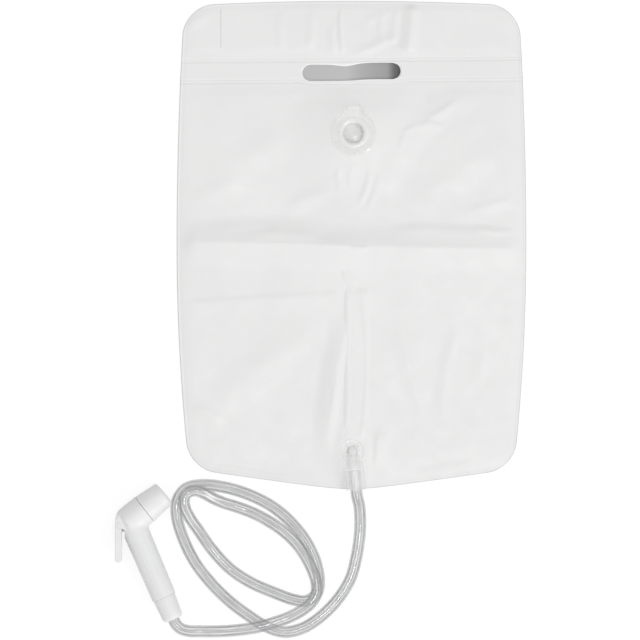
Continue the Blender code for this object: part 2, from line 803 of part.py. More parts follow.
def even_points(line, count):
    """Points at equal distances along a line."""
    along = np.concatenate([[0], np.cumsum(np.linalg.norm(np.diff(line, axis=0), axis=1))])
    at = np.linspace(0, along[-1], count + 1)
    return np.stack([np.interp(at, along, line[:, k]) for k in range(3)], axis=1)


def print_least_gap(line, spacing):
    """Print the hose's length and the least gap between stretches of it that pass each other."""
    points = even_points(line, round(spacing * len(line)))
    length = np.linalg.norm(np.diff(points, axis=0), axis=1).sum()
    apart = np.linalg.norm(points[:, None] - points[None], axis=2)
    index = np.arange(len(points))
    along = abs(index[:, None] - index[None]) * length / (len(points) - 1)
    apart[along < 3 * HOSE_DIAMETER] = length
    print(f"hose length {length:.4f} m, least gap to itself {apart.min() - HOSE_DIAMETER:.5f} m")


def build_hose():
    route = np.array(HOSE_ROUTE) + (OUTLET_X, OUTLET_Y, 0)
    line = smooth_route(route, HOSE_RADIUS / 3)
    print_least_gap(line, 1)
    # The two lengths inside the fittings stay straight.
    first, last = (np.linalg.norm(line - route[k], axis=1).argmin() for k in (1, -2))
    points = [line[0], *even_points(line[first : last + 1], HOSE_PIECES), line[-1]]
    curve = bpy.data.curves.new("hose", "CURVE")
    curve.dimensions = "3D"
    curve.bevel_depth = HOSE_RADIUS
    curve.bevel_resolution = 3
    curve.use_fill_caps = True
    spline = curve.splines.new("POLY")
    spline.points.add(len(points) - 1)
    for target, (x, y, z) in zip(spline.points, points):
        target.co = (x, y, z, 1)
    curve.materials.append(MATERIALS["clear_hose"])
    PIECES.objects.link(bpy.data.objects.new("hose", curve))


def lever_outline(margin=0.0):
    """The lever seen along its pin: a bar with round ends, hanging down from the pivot."""
    radius = LEVER_THICKNESS / 2 + margin
    top = arc((0, 0), radius, 0, math.pi, 10)
    foot = arc((0, -LEVER_LENGTH), radius, math.pi, 2 * math.pi, 10)
    return top + foot


def build_handset_body(frame):
    """Elbow, snout and handle turned and fused, with cheeks for the lever and all bores."""
    back = ELBOW_BACK_ROUND
    elbow = turned(
        "handset_body",
        [
            (0, NOSE_SEAM + SNOUT_LENGTH),
            (SNOUT_RADIUS, NOSE_SEAM + SNOUT_LENGTH),
            (SNOUT_RADIUS, NOSE_SEAM),
            (ELBOW_RADIUS, NOSE_SEAM),
            (ELBOW_RADIUS, back - ELBOW_BACK),
            (ELBOW_RADIUS - back / 3, back / 3 - ELBOW_BACK),
            (ELBOW_RADIUS - back, -ELBOW_BACK),
            (0, -ELBOW_BACK),
        ],
        "white_shell",
        frame,
        pointing(NOSE_ANGLE),
        sides=FINE_SIDES,
        closed=False,
    )
    handle = turned(
        "handle",
        [
            (0, HANDLE_LENGTH + SPIGOT_LENGTH),
            (SPIGOT_RADIUS, HANDLE_LENGTH + SPIGOT_LENGTH),
            (SPIGOT_RADIUS, HANDLE_LENGTH),
            (HANDLE_END_RADIUS, HANDLE_LENGTH),
            (HANDLE_TOP_RADIUS, 0),
            (0, 0),
        ],
        parent=frame,
        place=pointing(TAIL_ANGLE),
        sides=FINE_SIDES,
        closed=False,
    )
    pivot = (LEVER_PIVOT_X, LEVER_PIVOT_Y)
    lug_half = LEVER_WIDTH / 2 + SEAT_GAP + CHEEK_WALL
    lug = prism(
        "lug",
        arc(pivot, CHEEK_RADIUS, math.pi * 5 / 6, math.pi * 3 / 2, 8)
        + [
            (LEVER_PIVOT_X / 2, VALVE_LINE_Y),
            (0, 0),
            (-ELBOW_BACK, ELBOW_RADIUS / 2),
            (LUG_TOP_X, LUG_TOP_Y),
        ],
        -lug_half,
        lug_half,
        parent=frame,
    )
    slot_half = LEVER_WIDTH / 2 + SEAT_GAP
    recess_top = LEVER_PIVOT_Y + LEVER_THICKNESS / 2 + RECESS_TOP_MARGIN
    recess = block(
        "lever_recess",
        (-ELBOW_RADIUS * 2, recess_top - RECESS_LENGTH, -slot_half),
        (RECESS_FLOOR_X, recess_top, slot_half),
        parent=frame,
    )
    at_pivot = Matrix.Translation((*pivot, 0))
    pin_hole = rod(
        "cheek_hole", PIN_RADIUS + SEAT_GAP, -lug_half - OVERRUN, lug_half + OVERRUN,
        parent=frame, place=at_pivot, sides=SMALL_SIDES,
    )
    valve_line = Matrix.Translation((RECESS_FLOOR_X, VALVE_LINE_Y, 0)) @ pointing(0)
    valve_bore = rod(
        "valve_bore", VALVE_BORE, -OVERRUN, VALVE_BORE_DEPTH, parent=frame, place=valve_line
    )
    cavity = rod(
        "head_cavity", SNOUT_BORE, HEAD_CAVITY_BACK, NOSE_SEAM + SNOUT_LENGTH + OVERRUN,
        parent=frame, place=pointing(NOSE_ANGLE),
    )
    socket = rod(
        "hose_socket", HOSE_BORE, HANDLE_LENGTH + SPIGOT_LENGTH - SOCKET_DEPTH,
        HANDLE_LENGTH + SPIGOT_LENGTH + OVERRUN, parent=frame, place=pointing(TAIL_ANGLE),
        sides=SMALL_SIDES,
    )
    tail_end = Vector((math.cos(TAIL_ANGLE), math.sin(TAIL_ANGLE), 0)) * (HANDLE_LENGTH + OVERRUN)
    inlet = rod_between(
        "waterway", WATERWAY, tail_end, Vector((INLET_X, VALVE_LINE_Y, 0)), frame
    )
    passage_x = RECESS_FLOOR_X + GLAND_LENGTH + CAGE_LENGTH
    passage = rod_between(
        "passage",
        PASSAGE_RADIUS,
        Vector((passage_x - PASSAGE_RADIUS / 2, VALVE_LINE_Y, 0)),
        Vector((passage_x + PASSAGE_LEAN, VALVE_LINE_Y + PASSAGE_LENGTH, 0)),
        frame,
    )
    fuse(elbow, handle, lug)
    cut(elbow, recess, pin_hole, valve_bore, cavity, socket, inlet, passage)


def rod_between(name, radius, start, end, parent):
    """A cutter rod from one point to another."""
    along = end - start
    place = Matrix.Translation(start) @ along.to_track_quat("Z", "X").to_matrix().to_4x4()
    return rod(name, radius, 0, along.length, parent=parent, place=place, sides=SMALL_SIDES)


def build_nose(frame):
    """The screwed cap with the spray plate and its seal, along the nose's axis."""
    place = pointing(NOSE_ANGLE, NOSE_SEAM)
    cap_frame = add_frame("cap_frame", place, frame)
    half_round = CAP_FRONT_ROUND / 3
    snout_bore = SNOUT_RADIUS + SEAT_GAP
    snout_end = SNOUT_LENGTH + 2 * SEAT_GAP
    lip = CAP_LENGTH - CAP_LIP
    turned(
        "nose_cap",
        [
            (CAP_FRONT_RADIUS - CAP_FRONT_ROUND, CAP_LENGTH),
            (CAP_FRONT_RADIUS - half_round, CAP_LENGTH - half_round),
            (CAP_FRONT_RADIUS, CAP_LENGTH - CAP_FRONT_ROUND),
            (CAP_SEAM_RADIUS, SEAT_GAP),
            (snout_bore, SEAT_GAP),
            (snout_bore, snout_end),
            (CAP_BORE, snout_end),
            (CAP_BORE, lip),
            (CAP_LIP_BORE, lip),
            (CAP_LIP_BORE, CAP_LENGTH),
        ],
        "white_shell",
        cap_frame,
        sides=FINE_SIDES,
    )
    plate_radius = CAP_BORE - SEAT_GAP
    plate_top = lip - SEAT_GAP
    plate_low = plate_top - PLATE_THICKNESS
    plate = rod("spray_plate", plate_radius, plate_low, plate_top, "white_shell", cap_frame)
    bm = bmesh.new()
    for layer in range(PLATE_RINGS + 1):
        count = max(1, 6 * layer)
        for i in range(count):
            a = 2 * math.pi * i / count
            away = layer * PLATE_RING_RADIUS
            spot = (away * math.cos(a), away * math.sin(a), (plate_low + plate_top) / 2)
            bmesh.ops.create_cone(
                bm, cap_ends=True, segments=HOLE_SIDES, radius1=PLATE_HOLE, radius2=PLATE_HOLE,
                depth=PLATE_THICKNESS + 2 * OVERRUN, matrix=Matrix.Translation(spot),
            )
    cut(plate, add_object("spray_holes", mesh_from(bm, "spray_holes"), parent=cap_frame))
    seal_top = plate_low - SEAT_GAP
    ring("plate_seal", CAP_LIP_BORE, plate_radius, seal_top - SEAL_THICKNESS, seal_top,
         "rubber", cap_frame)


def build_tail(frame):
    """The nut on the handle's spigot, with the rings that seal and grip the hose."""
    tail = pointing(TAIL_ANGLE)
    start = HANDLE_LENGTH + SEAT_GAP
    end = HANDLE_LENGTH + NUT_LENGTH
    shoulder = HANDLE_LENGTH + NUT_BORE_LENGTH
    third = NUT_ROUND / 3
    turned(
        "tail_nut",
        [
            (NUT_END_RADIUS - NUT_ROUND, end),
            (NUT_END_RADIUS - third, end - third),
            (NUT_END_RADIUS, end - NUT_ROUND),
            (NUT_RADIUS, start),
            (SPIGOT_RADIUS + SEAT_GAP, start),
            (SPIGOT_RADIUS + SEAT_GAP, shoulder),
            (HOSE_BORE, shoulder),
            (HOSE_BORE, end),
        ],
        "white_shell",
        frame,
        tail,
    )
    seal_low = HANDLE_LENGTH + SPIGOT_LENGTH + SEAT_GAP
    seal_high = seal_low + HOSE_SEAL_LENGTH
    ring("hose_seal", HOSE_BORE, SPIGOT_RADIUS, seal_low, seal_high, "rubber", frame, tail)
    grip_low = seal_high + SEAT_GAP
    grip_high = grip_low + GRIP_LENGTH
    grip = turned(
        "grip_ring",
        [
            (SPIGOT_RADIUS - GRIP_LENGTH / 4, grip_high),
            (SPIGOT_RADIUS, grip_low),
            (HOSE_BORE, grip_low),
            (HOSE_BORE, grip_high),
        ],
        "white_shell",
        frame,
        tail,
    )
    slit = block(
        "grip_slit",
        (0, -GRIP_SLIT / 2, grip_low - OVERRUN),
        (ELBOW_RADIUS, GRIP_SLIT / 2, grip_high + OVERRUN),
        parent=frame,
        place=tail,
    )
    cut(grip, slit)


def build_lever(frame):
    """A channel-shaped bar on a pin. Its origin is on the pin's axis."""
    hinge = add_frame("lever_hinge", Matrix.Translation((LEVER_PIVOT_X, LEVER_PIVOT_Y, 0)), frame)
    half = LEVER_WIDTH / 2
    lever = prism("lever", lever_outline(), -half, half, "white_shell", hinge)
    pocket = block(
        "lever_pocket",
        (LEVER_THICKNESS / 2 - LEVER_POCKET_DEPTH, -LEVER_POCKET_END, LEVER_WALL - half),
        (LEVER_THICKNESS, -LEVER_POCKET_START, half - LEVER_WALL),
        parent=hinge,
    )
    hole = rod(
        "lever_hole", PIN_RADIUS + SEAT_GAP, -LEVER_WIDTH, LEVER_WIDTH, parent=hinge,
        sides=SMALL_SIDES,
    )
    cut(lever, pocket, hole)
    reach = half + CHEEK_WALL
    rod("lever_pin", PIN_RADIUS, -reach, reach, "steel", hinge, sides=SMALL_SIDES)


def build_valve(frame):
    """Gland, seal, cage, seat, disc, stem and spring, in their order into the bore."""
    line = Matrix.Translation((RECESS_FLOOR_X, VALVE_LINE_Y, 0)) @ pointing(0)
    fit = VALVE_BORE - SEAT_GAP
    stem_bore = STEM_RADIUS + STEM_FIT
    place = SEAT_GAP
    ring("gland_nut", stem_bore, fit, place, place + GLAND_LENGTH, "brass", frame, line)
    place += GLAND_LENGTH + SEAT_GAP
    cage_start = place
    seal_end = place + STEM_SEAL_LENGTH
    ring("stem_seal", stem_bore, STEM_SEAL_RADIUS, place, seal_end, "rubber", frame, line,
         sides=SMALL_SIDES)
    web = seal_end + SEAT_GAP
    cage_end = cage_start + CAGE_LENGTH
    cage = turned(
        "valve_cage",
        [
            (fit, cage_end),
            (fit, cage_start),
            (CAGE_BORE, cage_start),
            (CAGE_BORE, web),
            (stem_bore, web),
            (stem_bore, web + CAGE_WEB),
            (CAGE_BORE, web + CAGE_WEB),
            (CAGE_BORE, cage_end),
        ],
        "brass",
        frame,
        line,
    )
    port_at = (web + CAGE_WEB + cage_end) / 2
    for i in range(2):
        across = Matrix.Translation((0, 0, port_at)) @ Matrix.Rotation(math.pi / 2, 4, "XY"[i])
        port = rod(f"cage_port_{i}", CAGE_PORT, -VALVE_BORE, VALVE_BORE, parent=frame,
                   place=line @ across, sides=HOLE_SIDES + 2)
        cut(cage, port)
    place = cage_end + SEAT_GAP
    seat_end = place + SEAT_LENGTH
    ring("valve_seat", SEAT_BORE, fit, place, seat_end, "brass", frame, line)
    place = seat_end + SEAT_GAP
    disc_end = place + DISC_LENGTH
    ring("valve_disc", stem_bore, DISC_RADIUS, place, disc_end, "rubber", frame, line)
    shoulder_end = place - SEAT_GAP
    collar_low = disc_end + SEAT_GAP
    collar_high = collar_low + STEM_COLLAR_LENGTH
    stem_start = LEVER_PIVOT_X + LEVER_THICKNESS / 2 + SEAT_GAP - RECESS_FLOOR_X
    tip = STEM_RADIUS / 3
    turned(
        "valve_stem",
        [
            (0, collar_high + STEM_TAIL),
            (STEM_RADIUS, collar_high + STEM_TAIL),
            (STEM_RADIUS, collar_high),
            (STEM_COLLAR, collar_high),
            (STEM_COLLAR, collar_low),
            (STEM_RADIUS, collar_low),
            (STEM_RADIUS, shoulder_end),
            (STEM_SHOULDER, shoulder_end),
            (STEM_SHOULDER, shoulder_end - STEM_SHOULDER_LENGTH),
            (STEM_RADIUS, shoulder_end - STEM_SHOULDER_LENGTH),
            (STEM_RADIUS, stem_start + tip),
            (STEM_RADIUS - tip, stem_start),
            (0, stem_start),
        ],
        "steel",
        frame,
        line,
        sides=SMALL_SIDES,
        closed=False,
    )
    build_spring(frame, line, collar_high + SEAT_GAP, VALVE_BORE_DEPTH - SEAT_GAP)


def build_spring(frame, line, low, high):
    """A coil between the stem's collar and the end of the bore."""
    first, last = low + SPRING_WIRE, high - SPRING_WIRE
    count = SPRING_TURNS * SPRING_POINTS
    curve = bpy.data.curves.new("return_spring", "CURVE")
    curve.dimensions = "3D"
    curve.bevel_depth = SPRING_WIRE
    curve.bevel_resolution = 1
    curve.use_fill_caps = True
    spline = curve.splines.new("POLY")
    spline.points.add(count)
    for i, target in enumerate(spline.points):
        a = 2 * math.pi * i / SPRING_POINTS
        height = first + (last - first) * i / count
        target.co = (SPRING_RADIUS * math.cos(a), SPRING_RADIUS * math.sin(a), height, 1)
    curve.materials.append(MATERIALS["steel"])
    made = bpy.data.objects.new("return_spring", curve)
    PIECES.objects.link(made)
    made.parent = frame
    made.matrix_basis = line


def build_handset():
    frame = add_frame("handset_frame", Matrix.Translation((ELBOW_X, ELBOW_Y, ELBOW_RADIUS)))
    build_handset_body(frame)
    build_nose(frame)
    build_tail(frame)
    build_lever(frame)
    build_valve(frame)


build_rear_panel()
build_front_panel()
build_header_stiffener()
build_fill_valve()
build_outlet_stub()
build_drain_channel()
build_hose()
build_handset()
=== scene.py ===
"""The camp shower bag as it lies in its picture: creased film, clear valve and hose, white lever handset.

Lengths are in metres and places are in the part's own frame: the bag's back lies on
the ground with its centre at the origin, +Y towards the header.
"""

import math

import bmesh
import bpy
import numpy as np
from mathutils import Matrix, Vector


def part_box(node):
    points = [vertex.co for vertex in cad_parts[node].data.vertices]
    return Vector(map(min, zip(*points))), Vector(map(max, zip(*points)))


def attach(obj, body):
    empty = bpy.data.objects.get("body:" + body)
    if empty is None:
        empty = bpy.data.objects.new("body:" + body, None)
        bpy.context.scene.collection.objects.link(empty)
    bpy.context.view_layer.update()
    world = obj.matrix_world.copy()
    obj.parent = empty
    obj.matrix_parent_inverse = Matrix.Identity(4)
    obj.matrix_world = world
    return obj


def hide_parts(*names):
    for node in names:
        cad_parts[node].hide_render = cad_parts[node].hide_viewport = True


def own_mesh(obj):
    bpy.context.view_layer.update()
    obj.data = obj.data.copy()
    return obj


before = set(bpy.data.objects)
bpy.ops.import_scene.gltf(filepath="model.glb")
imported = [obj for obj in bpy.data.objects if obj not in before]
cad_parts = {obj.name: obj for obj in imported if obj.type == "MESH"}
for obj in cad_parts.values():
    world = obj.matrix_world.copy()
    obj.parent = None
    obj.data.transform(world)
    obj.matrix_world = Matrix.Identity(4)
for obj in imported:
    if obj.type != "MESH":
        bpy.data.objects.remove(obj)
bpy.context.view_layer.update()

MM = 0.001

# The picture: its side in pixels, metres to a pixel, and the pixel column and row of the bag's centre
PICTURE_SIDE = 640
PIXEL = 0.00105
CENTRE_COLUMN, CENTRE_ROW = 351.5, 245.0

# The bag as in the part's source: its outline, cross seams and hand slot, and how thick its film is
BAG_LENGTH, BAG_WIDTH = 0.5124, 0.367
HEADER_TAPER, FOOT_TAPER = 0.045, 0.085
HEADER_CORNER, FOOT_CORNER = 0.031, 0.027
HEADER_CROWN, FOOT_DROP, FOOT_POINT = 0.0055, 0.023, 0.15
HEAD_SIDE_Y = BAG_LENGTH / 2 - HEADER_CROWN
FOOT_SIDE_Y = FOOT_DROP - BAG_LENGTH / 2
UPPER_SEAM_Y, LOWER_SEAM_Y = 0.1946, 0.1693
SLOT_Y, SLOT_LENGTH, SLOT_HEIGHT = 0.1816, 0.103, 0.017
FILM = 0.0005
# The width of the edge weld, 0.2 mm less than in the part's source
EDGE_WELD = 0.0033

# Fill valve, outlet and the drain channel's middle line, half its width and its upper end
VALVE = np.array((0.002, 0.1175))
VALVE_BASE_Z = 0.0066
OUTLET = np.array((0.0008, -0.2163))
OUTLET_TURN = math.radians(6)
OUTLET_BASE_Z = 0.0041
STUB_AXIS_Z = 0.0119
CHANNEL_X = 0.0055
CHANNEL_HALF_WIDTH, CHANNEL_HEAD_Y = 0.0094, -0.0435

# The stiffening sheet in the header: half its length, its lower edge and its upper edge
SHEET_REACH, SHEET_FOOT, SHEET_HEAD = 0.1372, 0.2071, 0.2475

# Hose: the radius of its outside and its bore, the step between its rings and the points in a ring
HOSE_RADIUS, HOSE_BORE_RADIUS = 0.0065, 0.0049
HOSE_STEP, HOSE_SIDES = 0.0022, 28

# Handset: where its elbow lies, and the ways that its nose and its tail point
ELBOW = np.array((-0.231, -0.2882, 0.0163))
NOSE_ANGLE, TAIL_ANGLE = math.radians(38.4), math.radians(-66.9)

# Rows of the films lie closer between these two levels, on either side of the crease
CREASE_FOOT, CREASE_HEAD = -0.028, 0.034

# The cross seams: half a seam's width, how far its two lines lie from its middle, how deep the band
# and its lines are pressed, and how far up and down the rows follow its lean
SEAM_HALF_WIDTH, SEAM_LINE = 2.2 * MM, 1.5 * MM
SEAM_DEPTH, SEAM_LOWER_LINE_DEPTH, SEAM_UPPER_LINE_DEPTH = 0.08 * MM, 0.46 * MM, 0.28 * MM
SEAM_FADE = 11 * MM

# The lean of each seam in metres to a metre, how far the lower one is raised, and its dip under the slot
UPPER_SEAM_LEAN, LOWER_SEAM_LEAN = 0.008, 0.0097
LOWER_SEAM_SHIFT = 3.6 * MM
SLOT_DIP, SLOT_DIP_REACH, SLOT_DIP_FADE = 2.2 * MM, 58 * MM, 16 * MM

# Front film: its step beside a weld, its rise close by and far from it, and the edge weld and its line
WELD_STEP, NEAR_RISE = 0.9 * MM, 0.5 * MM
CHAMBER_RISE, HEADER_RISE = 1.1 * MM, 0.1 * MM
WELDED, WELD_LINE_DEPTH, LEAST_HEIGHT = 0.56 * MM, 0.22 * MM, 0.05 * MM

# Front film over the stiffening sheet, over the channel, at the valve's flange and at the outlet's
OVER_SHEET, OVER_CHANNEL = 1.35 * MM, 3.1 * MM
AT_VALVE, AT_OUTLET = 6.05 * MM, 3.3 * MM

# Widths of the front film's two round holes, and how thick the back film and the sheet are
FILL_HOLE, OUTLET_HOLE = 22 * MM, 11.2 * MM
BACK_FILM, SHEET = 0.42 * MM, 0.35 * MM


# Meshes

def grid_quads(rows, columns, close_rows=False, close_columns=False):
    """Quads of a rows by columns grid of points. A closed direction joins its last line to its first."""
    row = np.arange(rows if close_rows else rows - 1)
    column = np.arange(columns if close_columns else columns - 1)
    i, j = np.meshgrid(row, column, indexing="ij")
    k, m = (i + 1) % rows, (j + 1) % columns
    quads = np.stack([i * columns + j, i * columns + m, k * columns + m, k * columns + j], axis=-1)
    return quads.reshape(-1, 4)


def new_piece(name, points, faces, finish, uv=None, smooth=True):
    """A mesh object from points and faces, with its finish and an optional UV for each point."""
    mesh = bpy.data.meshes.new(name)
    corners = np.asarray(points, float).reshape(-1, 3).tolist()
    mesh.from_pydata(corners, [], [list(map(int, face)) for face in faces])
    if uv is not None:
        layer = mesh.uv_layers.new(name="UVMap")
        corner = np.empty(len(mesh.loops), int)
        mesh.loops.foreach_get("vertex_index", corner)
        layer.data.foreach_set("uv", np.asarray(uv, np.float32)[corner].ravel())
    mesh.polygons.foreach_set("use_smooth", [smooth] * len(mesh.polygons))
    mesh.materials.append(finish)
    piece = bpy.data.objects.new(name, mesh)
    bpy.context.scene.collection.objects.link(piece)
    return piece


def fit_in(piece, body, node):
    """Attach a piece to the body it rides on, and hide the node it stands for, if any."""
    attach(piece, body)
    if node:
        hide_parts(node)


def mesh_points(mesh):
    """The points of a mesh as an array of rows."""
    points = np.empty(3 * len(mesh.vertices), np.float32)
    mesh.vertices.foreach_get("co", points)
    return points.reshape(-1, 3)


def sharpen(piece):
    """Smooth shading that keeps edges sharper than 35 degrees hard."""
    with bpy.context.temp_override(object=piece, active_object=piece, selected_objects=[piece],
                                   selected_editable_objects=[piece]):
        bpy.ops.object.shade_smooth_by_angle(angle=math.radians(35))


def turned_points(profile, sides):
    """Points of a closed profile of (radius, height) turned about Z: x = r cos a, y = r sin a, z = h."""
    profile = np.asarray(profile, float)
    angle = np.linspace(0, 2 * np.pi, sides, endpoint=False)
    x = profile[:, :1] * np.cos(angle)
    y = profile[:, :1] * np.sin(angle)
    z = np.repeat(profile[:, 1:2], sides, axis=1)
    return np.stack([x, y, z], axis=-1)


def capped_faces(rings, sides):
    """Quads between rings of points, and a fan over each end to two points that follow the last ring."""
    faces = grid_quads(rings, sides, close_columns=True).tolist()
    ring = np.arange(sides)
    after = (ring + 1) % sides
    first = rings * sides
    low = first - sides
    faces += [(first, b, a) for a, b in zip(ring, after)]
    faces += [(first + 1, low + a, low + b) for a, b in zip(ring, after)]
    return faces


def turned_piece(name, profile, finish, place, sides, closed=True):
    """A turned piece. The profile runs down its outer side; an open one starts and ends on the axis."""
    profile = np.asarray(profile, float)
    if closed:
        points = turned_points(profile, sides)
        faces = grid_quads(len(profile), sides, close_rows=True, close_columns=True)
    else:
        rings = turned_points(profile[1:-1], sides).reshape(-1, 3)
        points = np.vstack([rings, (0, 0, profile[0, 1]), (0, 0, profile[-1, 1])])
        faces = capped_faces(len(profile) - 2, sides)
    piece = new_piece(name, moved(points, place), [face[::-1] for face in faces], finish)
    sharpen(piece)
    return piece


def moved(points, place):
    """Points carried by a 4 by 4 placing matrix."""
    matrix = np.array(place, float)
    return np.asarray(points, float) @ matrix[:3, :3].T + matrix[:3, 3]


def rounded(profile):
    """A closed profile, from rows of radius, height and rounding in mm, with its corners rounded.

    Each corner becomes the curve (1 - t)^2 start + 2 t (1 - t) corner + t^2 end, whose ends lie
    on its two sides as far away as its rounding, or 0.45 of a side that is short.
    """
    table = MM * np.array(profile, float)
    corners, rounding = table[:, :2], table[:, 2]

    def on_side(neighbours):
        side = neighbours - corners
        length = np.linalg.norm(side, axis=1)
        return corners + (np.minimum(rounding, 0.45 * length) / length)[:, None] * side

    start, end = on_side(np.roll(corners, 1, axis=0)), on_side(np.roll(corners, -1, axis=0))
    t = np.linspace(0, 1, 5)[:, None, None]
    curve = (1 - t) ** 2 * start + 2 * t * (1 - t) * corners + t**2 * end
    return curve.transpose(1, 0, 2).reshape(-1, 2)


def pointing(angle, distance, origin):
    """A placing matrix whose Z axis lies flat at an angle, a distance along it from an origin."""
    axis = Vector((math.cos(angle), math.sin(angle), 0))
    across = Vector((-math.sin(angle), math.cos(angle), 0))
    down = across.cross(axis)
    turn = Matrix((across, down, axis)).transposed().to_4x4()
    return Matrix.Translation(Vector(origin) + distance * axis) @ turn


def ease(value):
    """0 below 0, 1 above 1, and 3v^2 - 2v^3 between."""
    value = np.clip(value, 0, 1)
    return value * value * (3 - 2 * value)


# Materials

def new_finish(name):
    """A new material, its node tree and its Principled shader."""
    finish = bpy.data.materials.new(name)
    finish.use_nodes = True
    tree = finish.node_tree
    return finish, tree, tree.nodes["Principled BSDF"]


def put(tree, value, socket):
    """Link an output to a socket, or set the socket to a constant."""
    if isinstance(value, bpy.types.NodeSocket):
        tree.links.new(value, socket)
    else:
        socket.default_value = value


def fill(tree, node, **values):
    """Fill a node's named sockets with outputs or constants, and set its named properties."""
    for key, value in values.items():
        name = key.replace("_", " ")
        if name in node.inputs:
            put(tree, value, node.inputs[name])
        else:
            setattr(node, key, value)
    return node


def add_node(tree, kind, **values):
    """A new node of a kind, filled."""
    return fill(tree, tree.nodes.new(kind), **values)


def fed(tree, kind, *sources, **values):
    """The first output of a node whose sockets take the sources in their order."""
    made = add_node(tree, kind, **values)
    for socket, source in zip(made.inputs, sources):
        put(tree, source, socket)
    return made.outputs[0]


def worked_out(tree, operation, *sources):
    """The sources put together by a Math operation."""
    return fed(tree, "ShaderNodeMath", *sources, operation=operation)


def carried_over(tree, value, low, high, to_low, to_high):
    """A value's range from low to high carried over onto another, and clamped there."""
    made = add_node(tree, "ShaderNodeMapRange", Value=value, From_Min=low, From_Max=high,
                    To_Min=to_low, To_Max=to_high)
    return made.outputs["Result"]


def mixed(tree, share, base, colour):
    """The base where the share is 0 and the colour where it is 1."""
    mix = add_node(tree, "ShaderNodeMix", data_type="RGBA")
    for index, value in ((0, share), (6, base), (7, colour)):
        put(tree, value, mix.inputs[index])
    return mix.outputs[2]


def coordinates(tree, kind, stretch=(1, 1, 1)):
    """Texture coordinates of a kind, stretched."""
    where = tree.nodes.new("ShaderNodeTexCoord").outputs[kind]
    mapping = add_node(tree, "ShaderNodeMapping", Vector=where, Scale=stretch)
    return mapping.outputs["Vector"]


def noise(tree, place, scale, detail=3.0, roughness=0.5):
    """Noise at a place, from 0 to 1."""
    made = add_node(tree, "ShaderNodeTexNoise", Vector=place, Scale=scale, Detail=detail, Roughness=roughness)
    return made.outputs["Fac"]


def measure(tree, name):
    """A piece's own attribute."""
    return add_node(tree, "ShaderNodeAttribute", attribute_name=name).outputs["Fac"]


def ramp(tree, value, *stops):
    """A colour ramp over (position, colour) stops."""
    made = add_node(tree, "ShaderNodeValToRGB", Fac=value)
    items = made.color_ramp.elements
    while len(items) < len(stops):
        items.new(0.5)
    for item, (position, colour) in zip(items, stops):
        item.position = position
        item.color = colour
    return made.outputs["Color"]


def grey(value):
    """An opaque grey, from 0 to 1."""
    return (value, value, value, 1.0)


def grey_ramp(tree, value, *stops):
    """A ramp over (position, grey) stops."""
    return ramp(tree, value, *[(position, grey(level)) for position, level in stops])


def add_bumps(tree, shader, *layers):
    """Bump the surface with (height output, strength, distance) layers."""
    normal = None
    for height, strength, distance in layers:
        bump = add_node(tree, "ShaderNodeBump", Height=height, Strength=strength, Distance=distance)
        if normal:
            fill(tree, bump, Normal=normal)
        normal = bump.outputs["Normal"]
    fill(tree, shader, Normal=normal)


def ray_is(tree, *kinds):
    """1 for a ray of any of these kinds, and 0 for other rays."""
    path = tree.nodes.new("ShaderNodeLightPath")
    found = path.outputs[kinds[0]]
    for kind in kinds[1:]:
        found = worked_out(tree, "MAXIMUM", found, path.outputs[kind])
    return found


def film_finish():
    """Frosted white PVC film: faint cloudy tone, calender haze and a fine grain.

    Three ramps over the film's own measures shade its tone: a dark band along the outermost
    mm of the edge, which is painted shade at the film's edge, and the weld's fine line inside
    it; the fine line at each end of the stiffening sheet, which shows through; and the slot's
    sealed rim. The last is `plain` off the rim, and the whole is raised by 1 / plain, so
    that the rim comes out lighter.
    """
    plain = 0.88
    weld_reach = 6.0
    finish, tree, shader = new_finish("frosted_film")
    place = coordinates(tree, "Object")
    cloud = noise(tree, place, 9.0, 4.0, 0.55)
    tone = ramp(tree, cloud, (0.3, (0.790, 0.789, 0.788, 1)), (0.7, (0.820, 0.818, 0.816, 1)))
    from_edge = worked_out(tree, "DIVIDE", measure(tree, "edge_mm"), weld_reach)
    from_sheet = worked_out(tree, "ABSOLUTE", measure(tree, "sheet_mm"))
    shades = (
        # the edge ramp: its dark band in the outermost mm is painted shade at the film's edge, and its dip
        # near 3.4 mm is the weld's line
        grey_ramp(tree, from_edge, (0.0, 0.72), (0.10, 0.80), (0.17, 1.0), (0.50, 1.0), (0.57, 0.94),
                  (0.66, 1.0)),
        grey_ramp(tree, from_sheet, (0.0, 0.80), (0.3, 0.84), (0.8, 1.0)),
        grey_ramp(tree, measure(tree, "slot_mm"), (0.0, 1.0), (0.75, 1.0), (1.0, plain)),
    )
    for shade in shades:
        tone = fed(tree, "ShaderNodeVectorMath", tone, shade, operation="MULTIPLY")
    tone = fed(tree, "ShaderNodeVectorMath", tone, operation="SCALE", Scale=1 / plain)
    sheen = grey_ramp(tree, noise(tree, place, 60.0, 3.0), (0.3, 0.36), (0.7, 0.50))
    fill(tree, shader, Base_Color=tone, Roughness=sheen, IOR=1.5)
    add_bumps(tree, shader, (noise(tree, place, 2600.0, 2.0), 0.10, 0.1 * MM),
              (noise(tree, place, 130.0, 4.0, 0.6), 0.16, 0.6 * MM))
    return finish


def inner_film_finish():
    """The stiffer film of the sheet and the channel inside the bag: cloudy white with a fine grain, satin."""
    finish, tree, shader = new_finish("inner_film")
    place = coordinates(tree, "Object")
    tone = grey_ramp(tree, noise(tree, place, 60.0), (0.3, 0.79), (0.7, 0.82))
    gloss = grey_ramp(tree, noise(tree, place, 300.0, 2.0), (0.3, 0.36), (0.7, 0.48))
    fill(tree, shader, Base_Color=tone, Roughness=gloss)
    add_bumps(tree, shader, (noise(tree, place, 900.0, 2.0), 0.10, 0.1 * MM))
    return finish


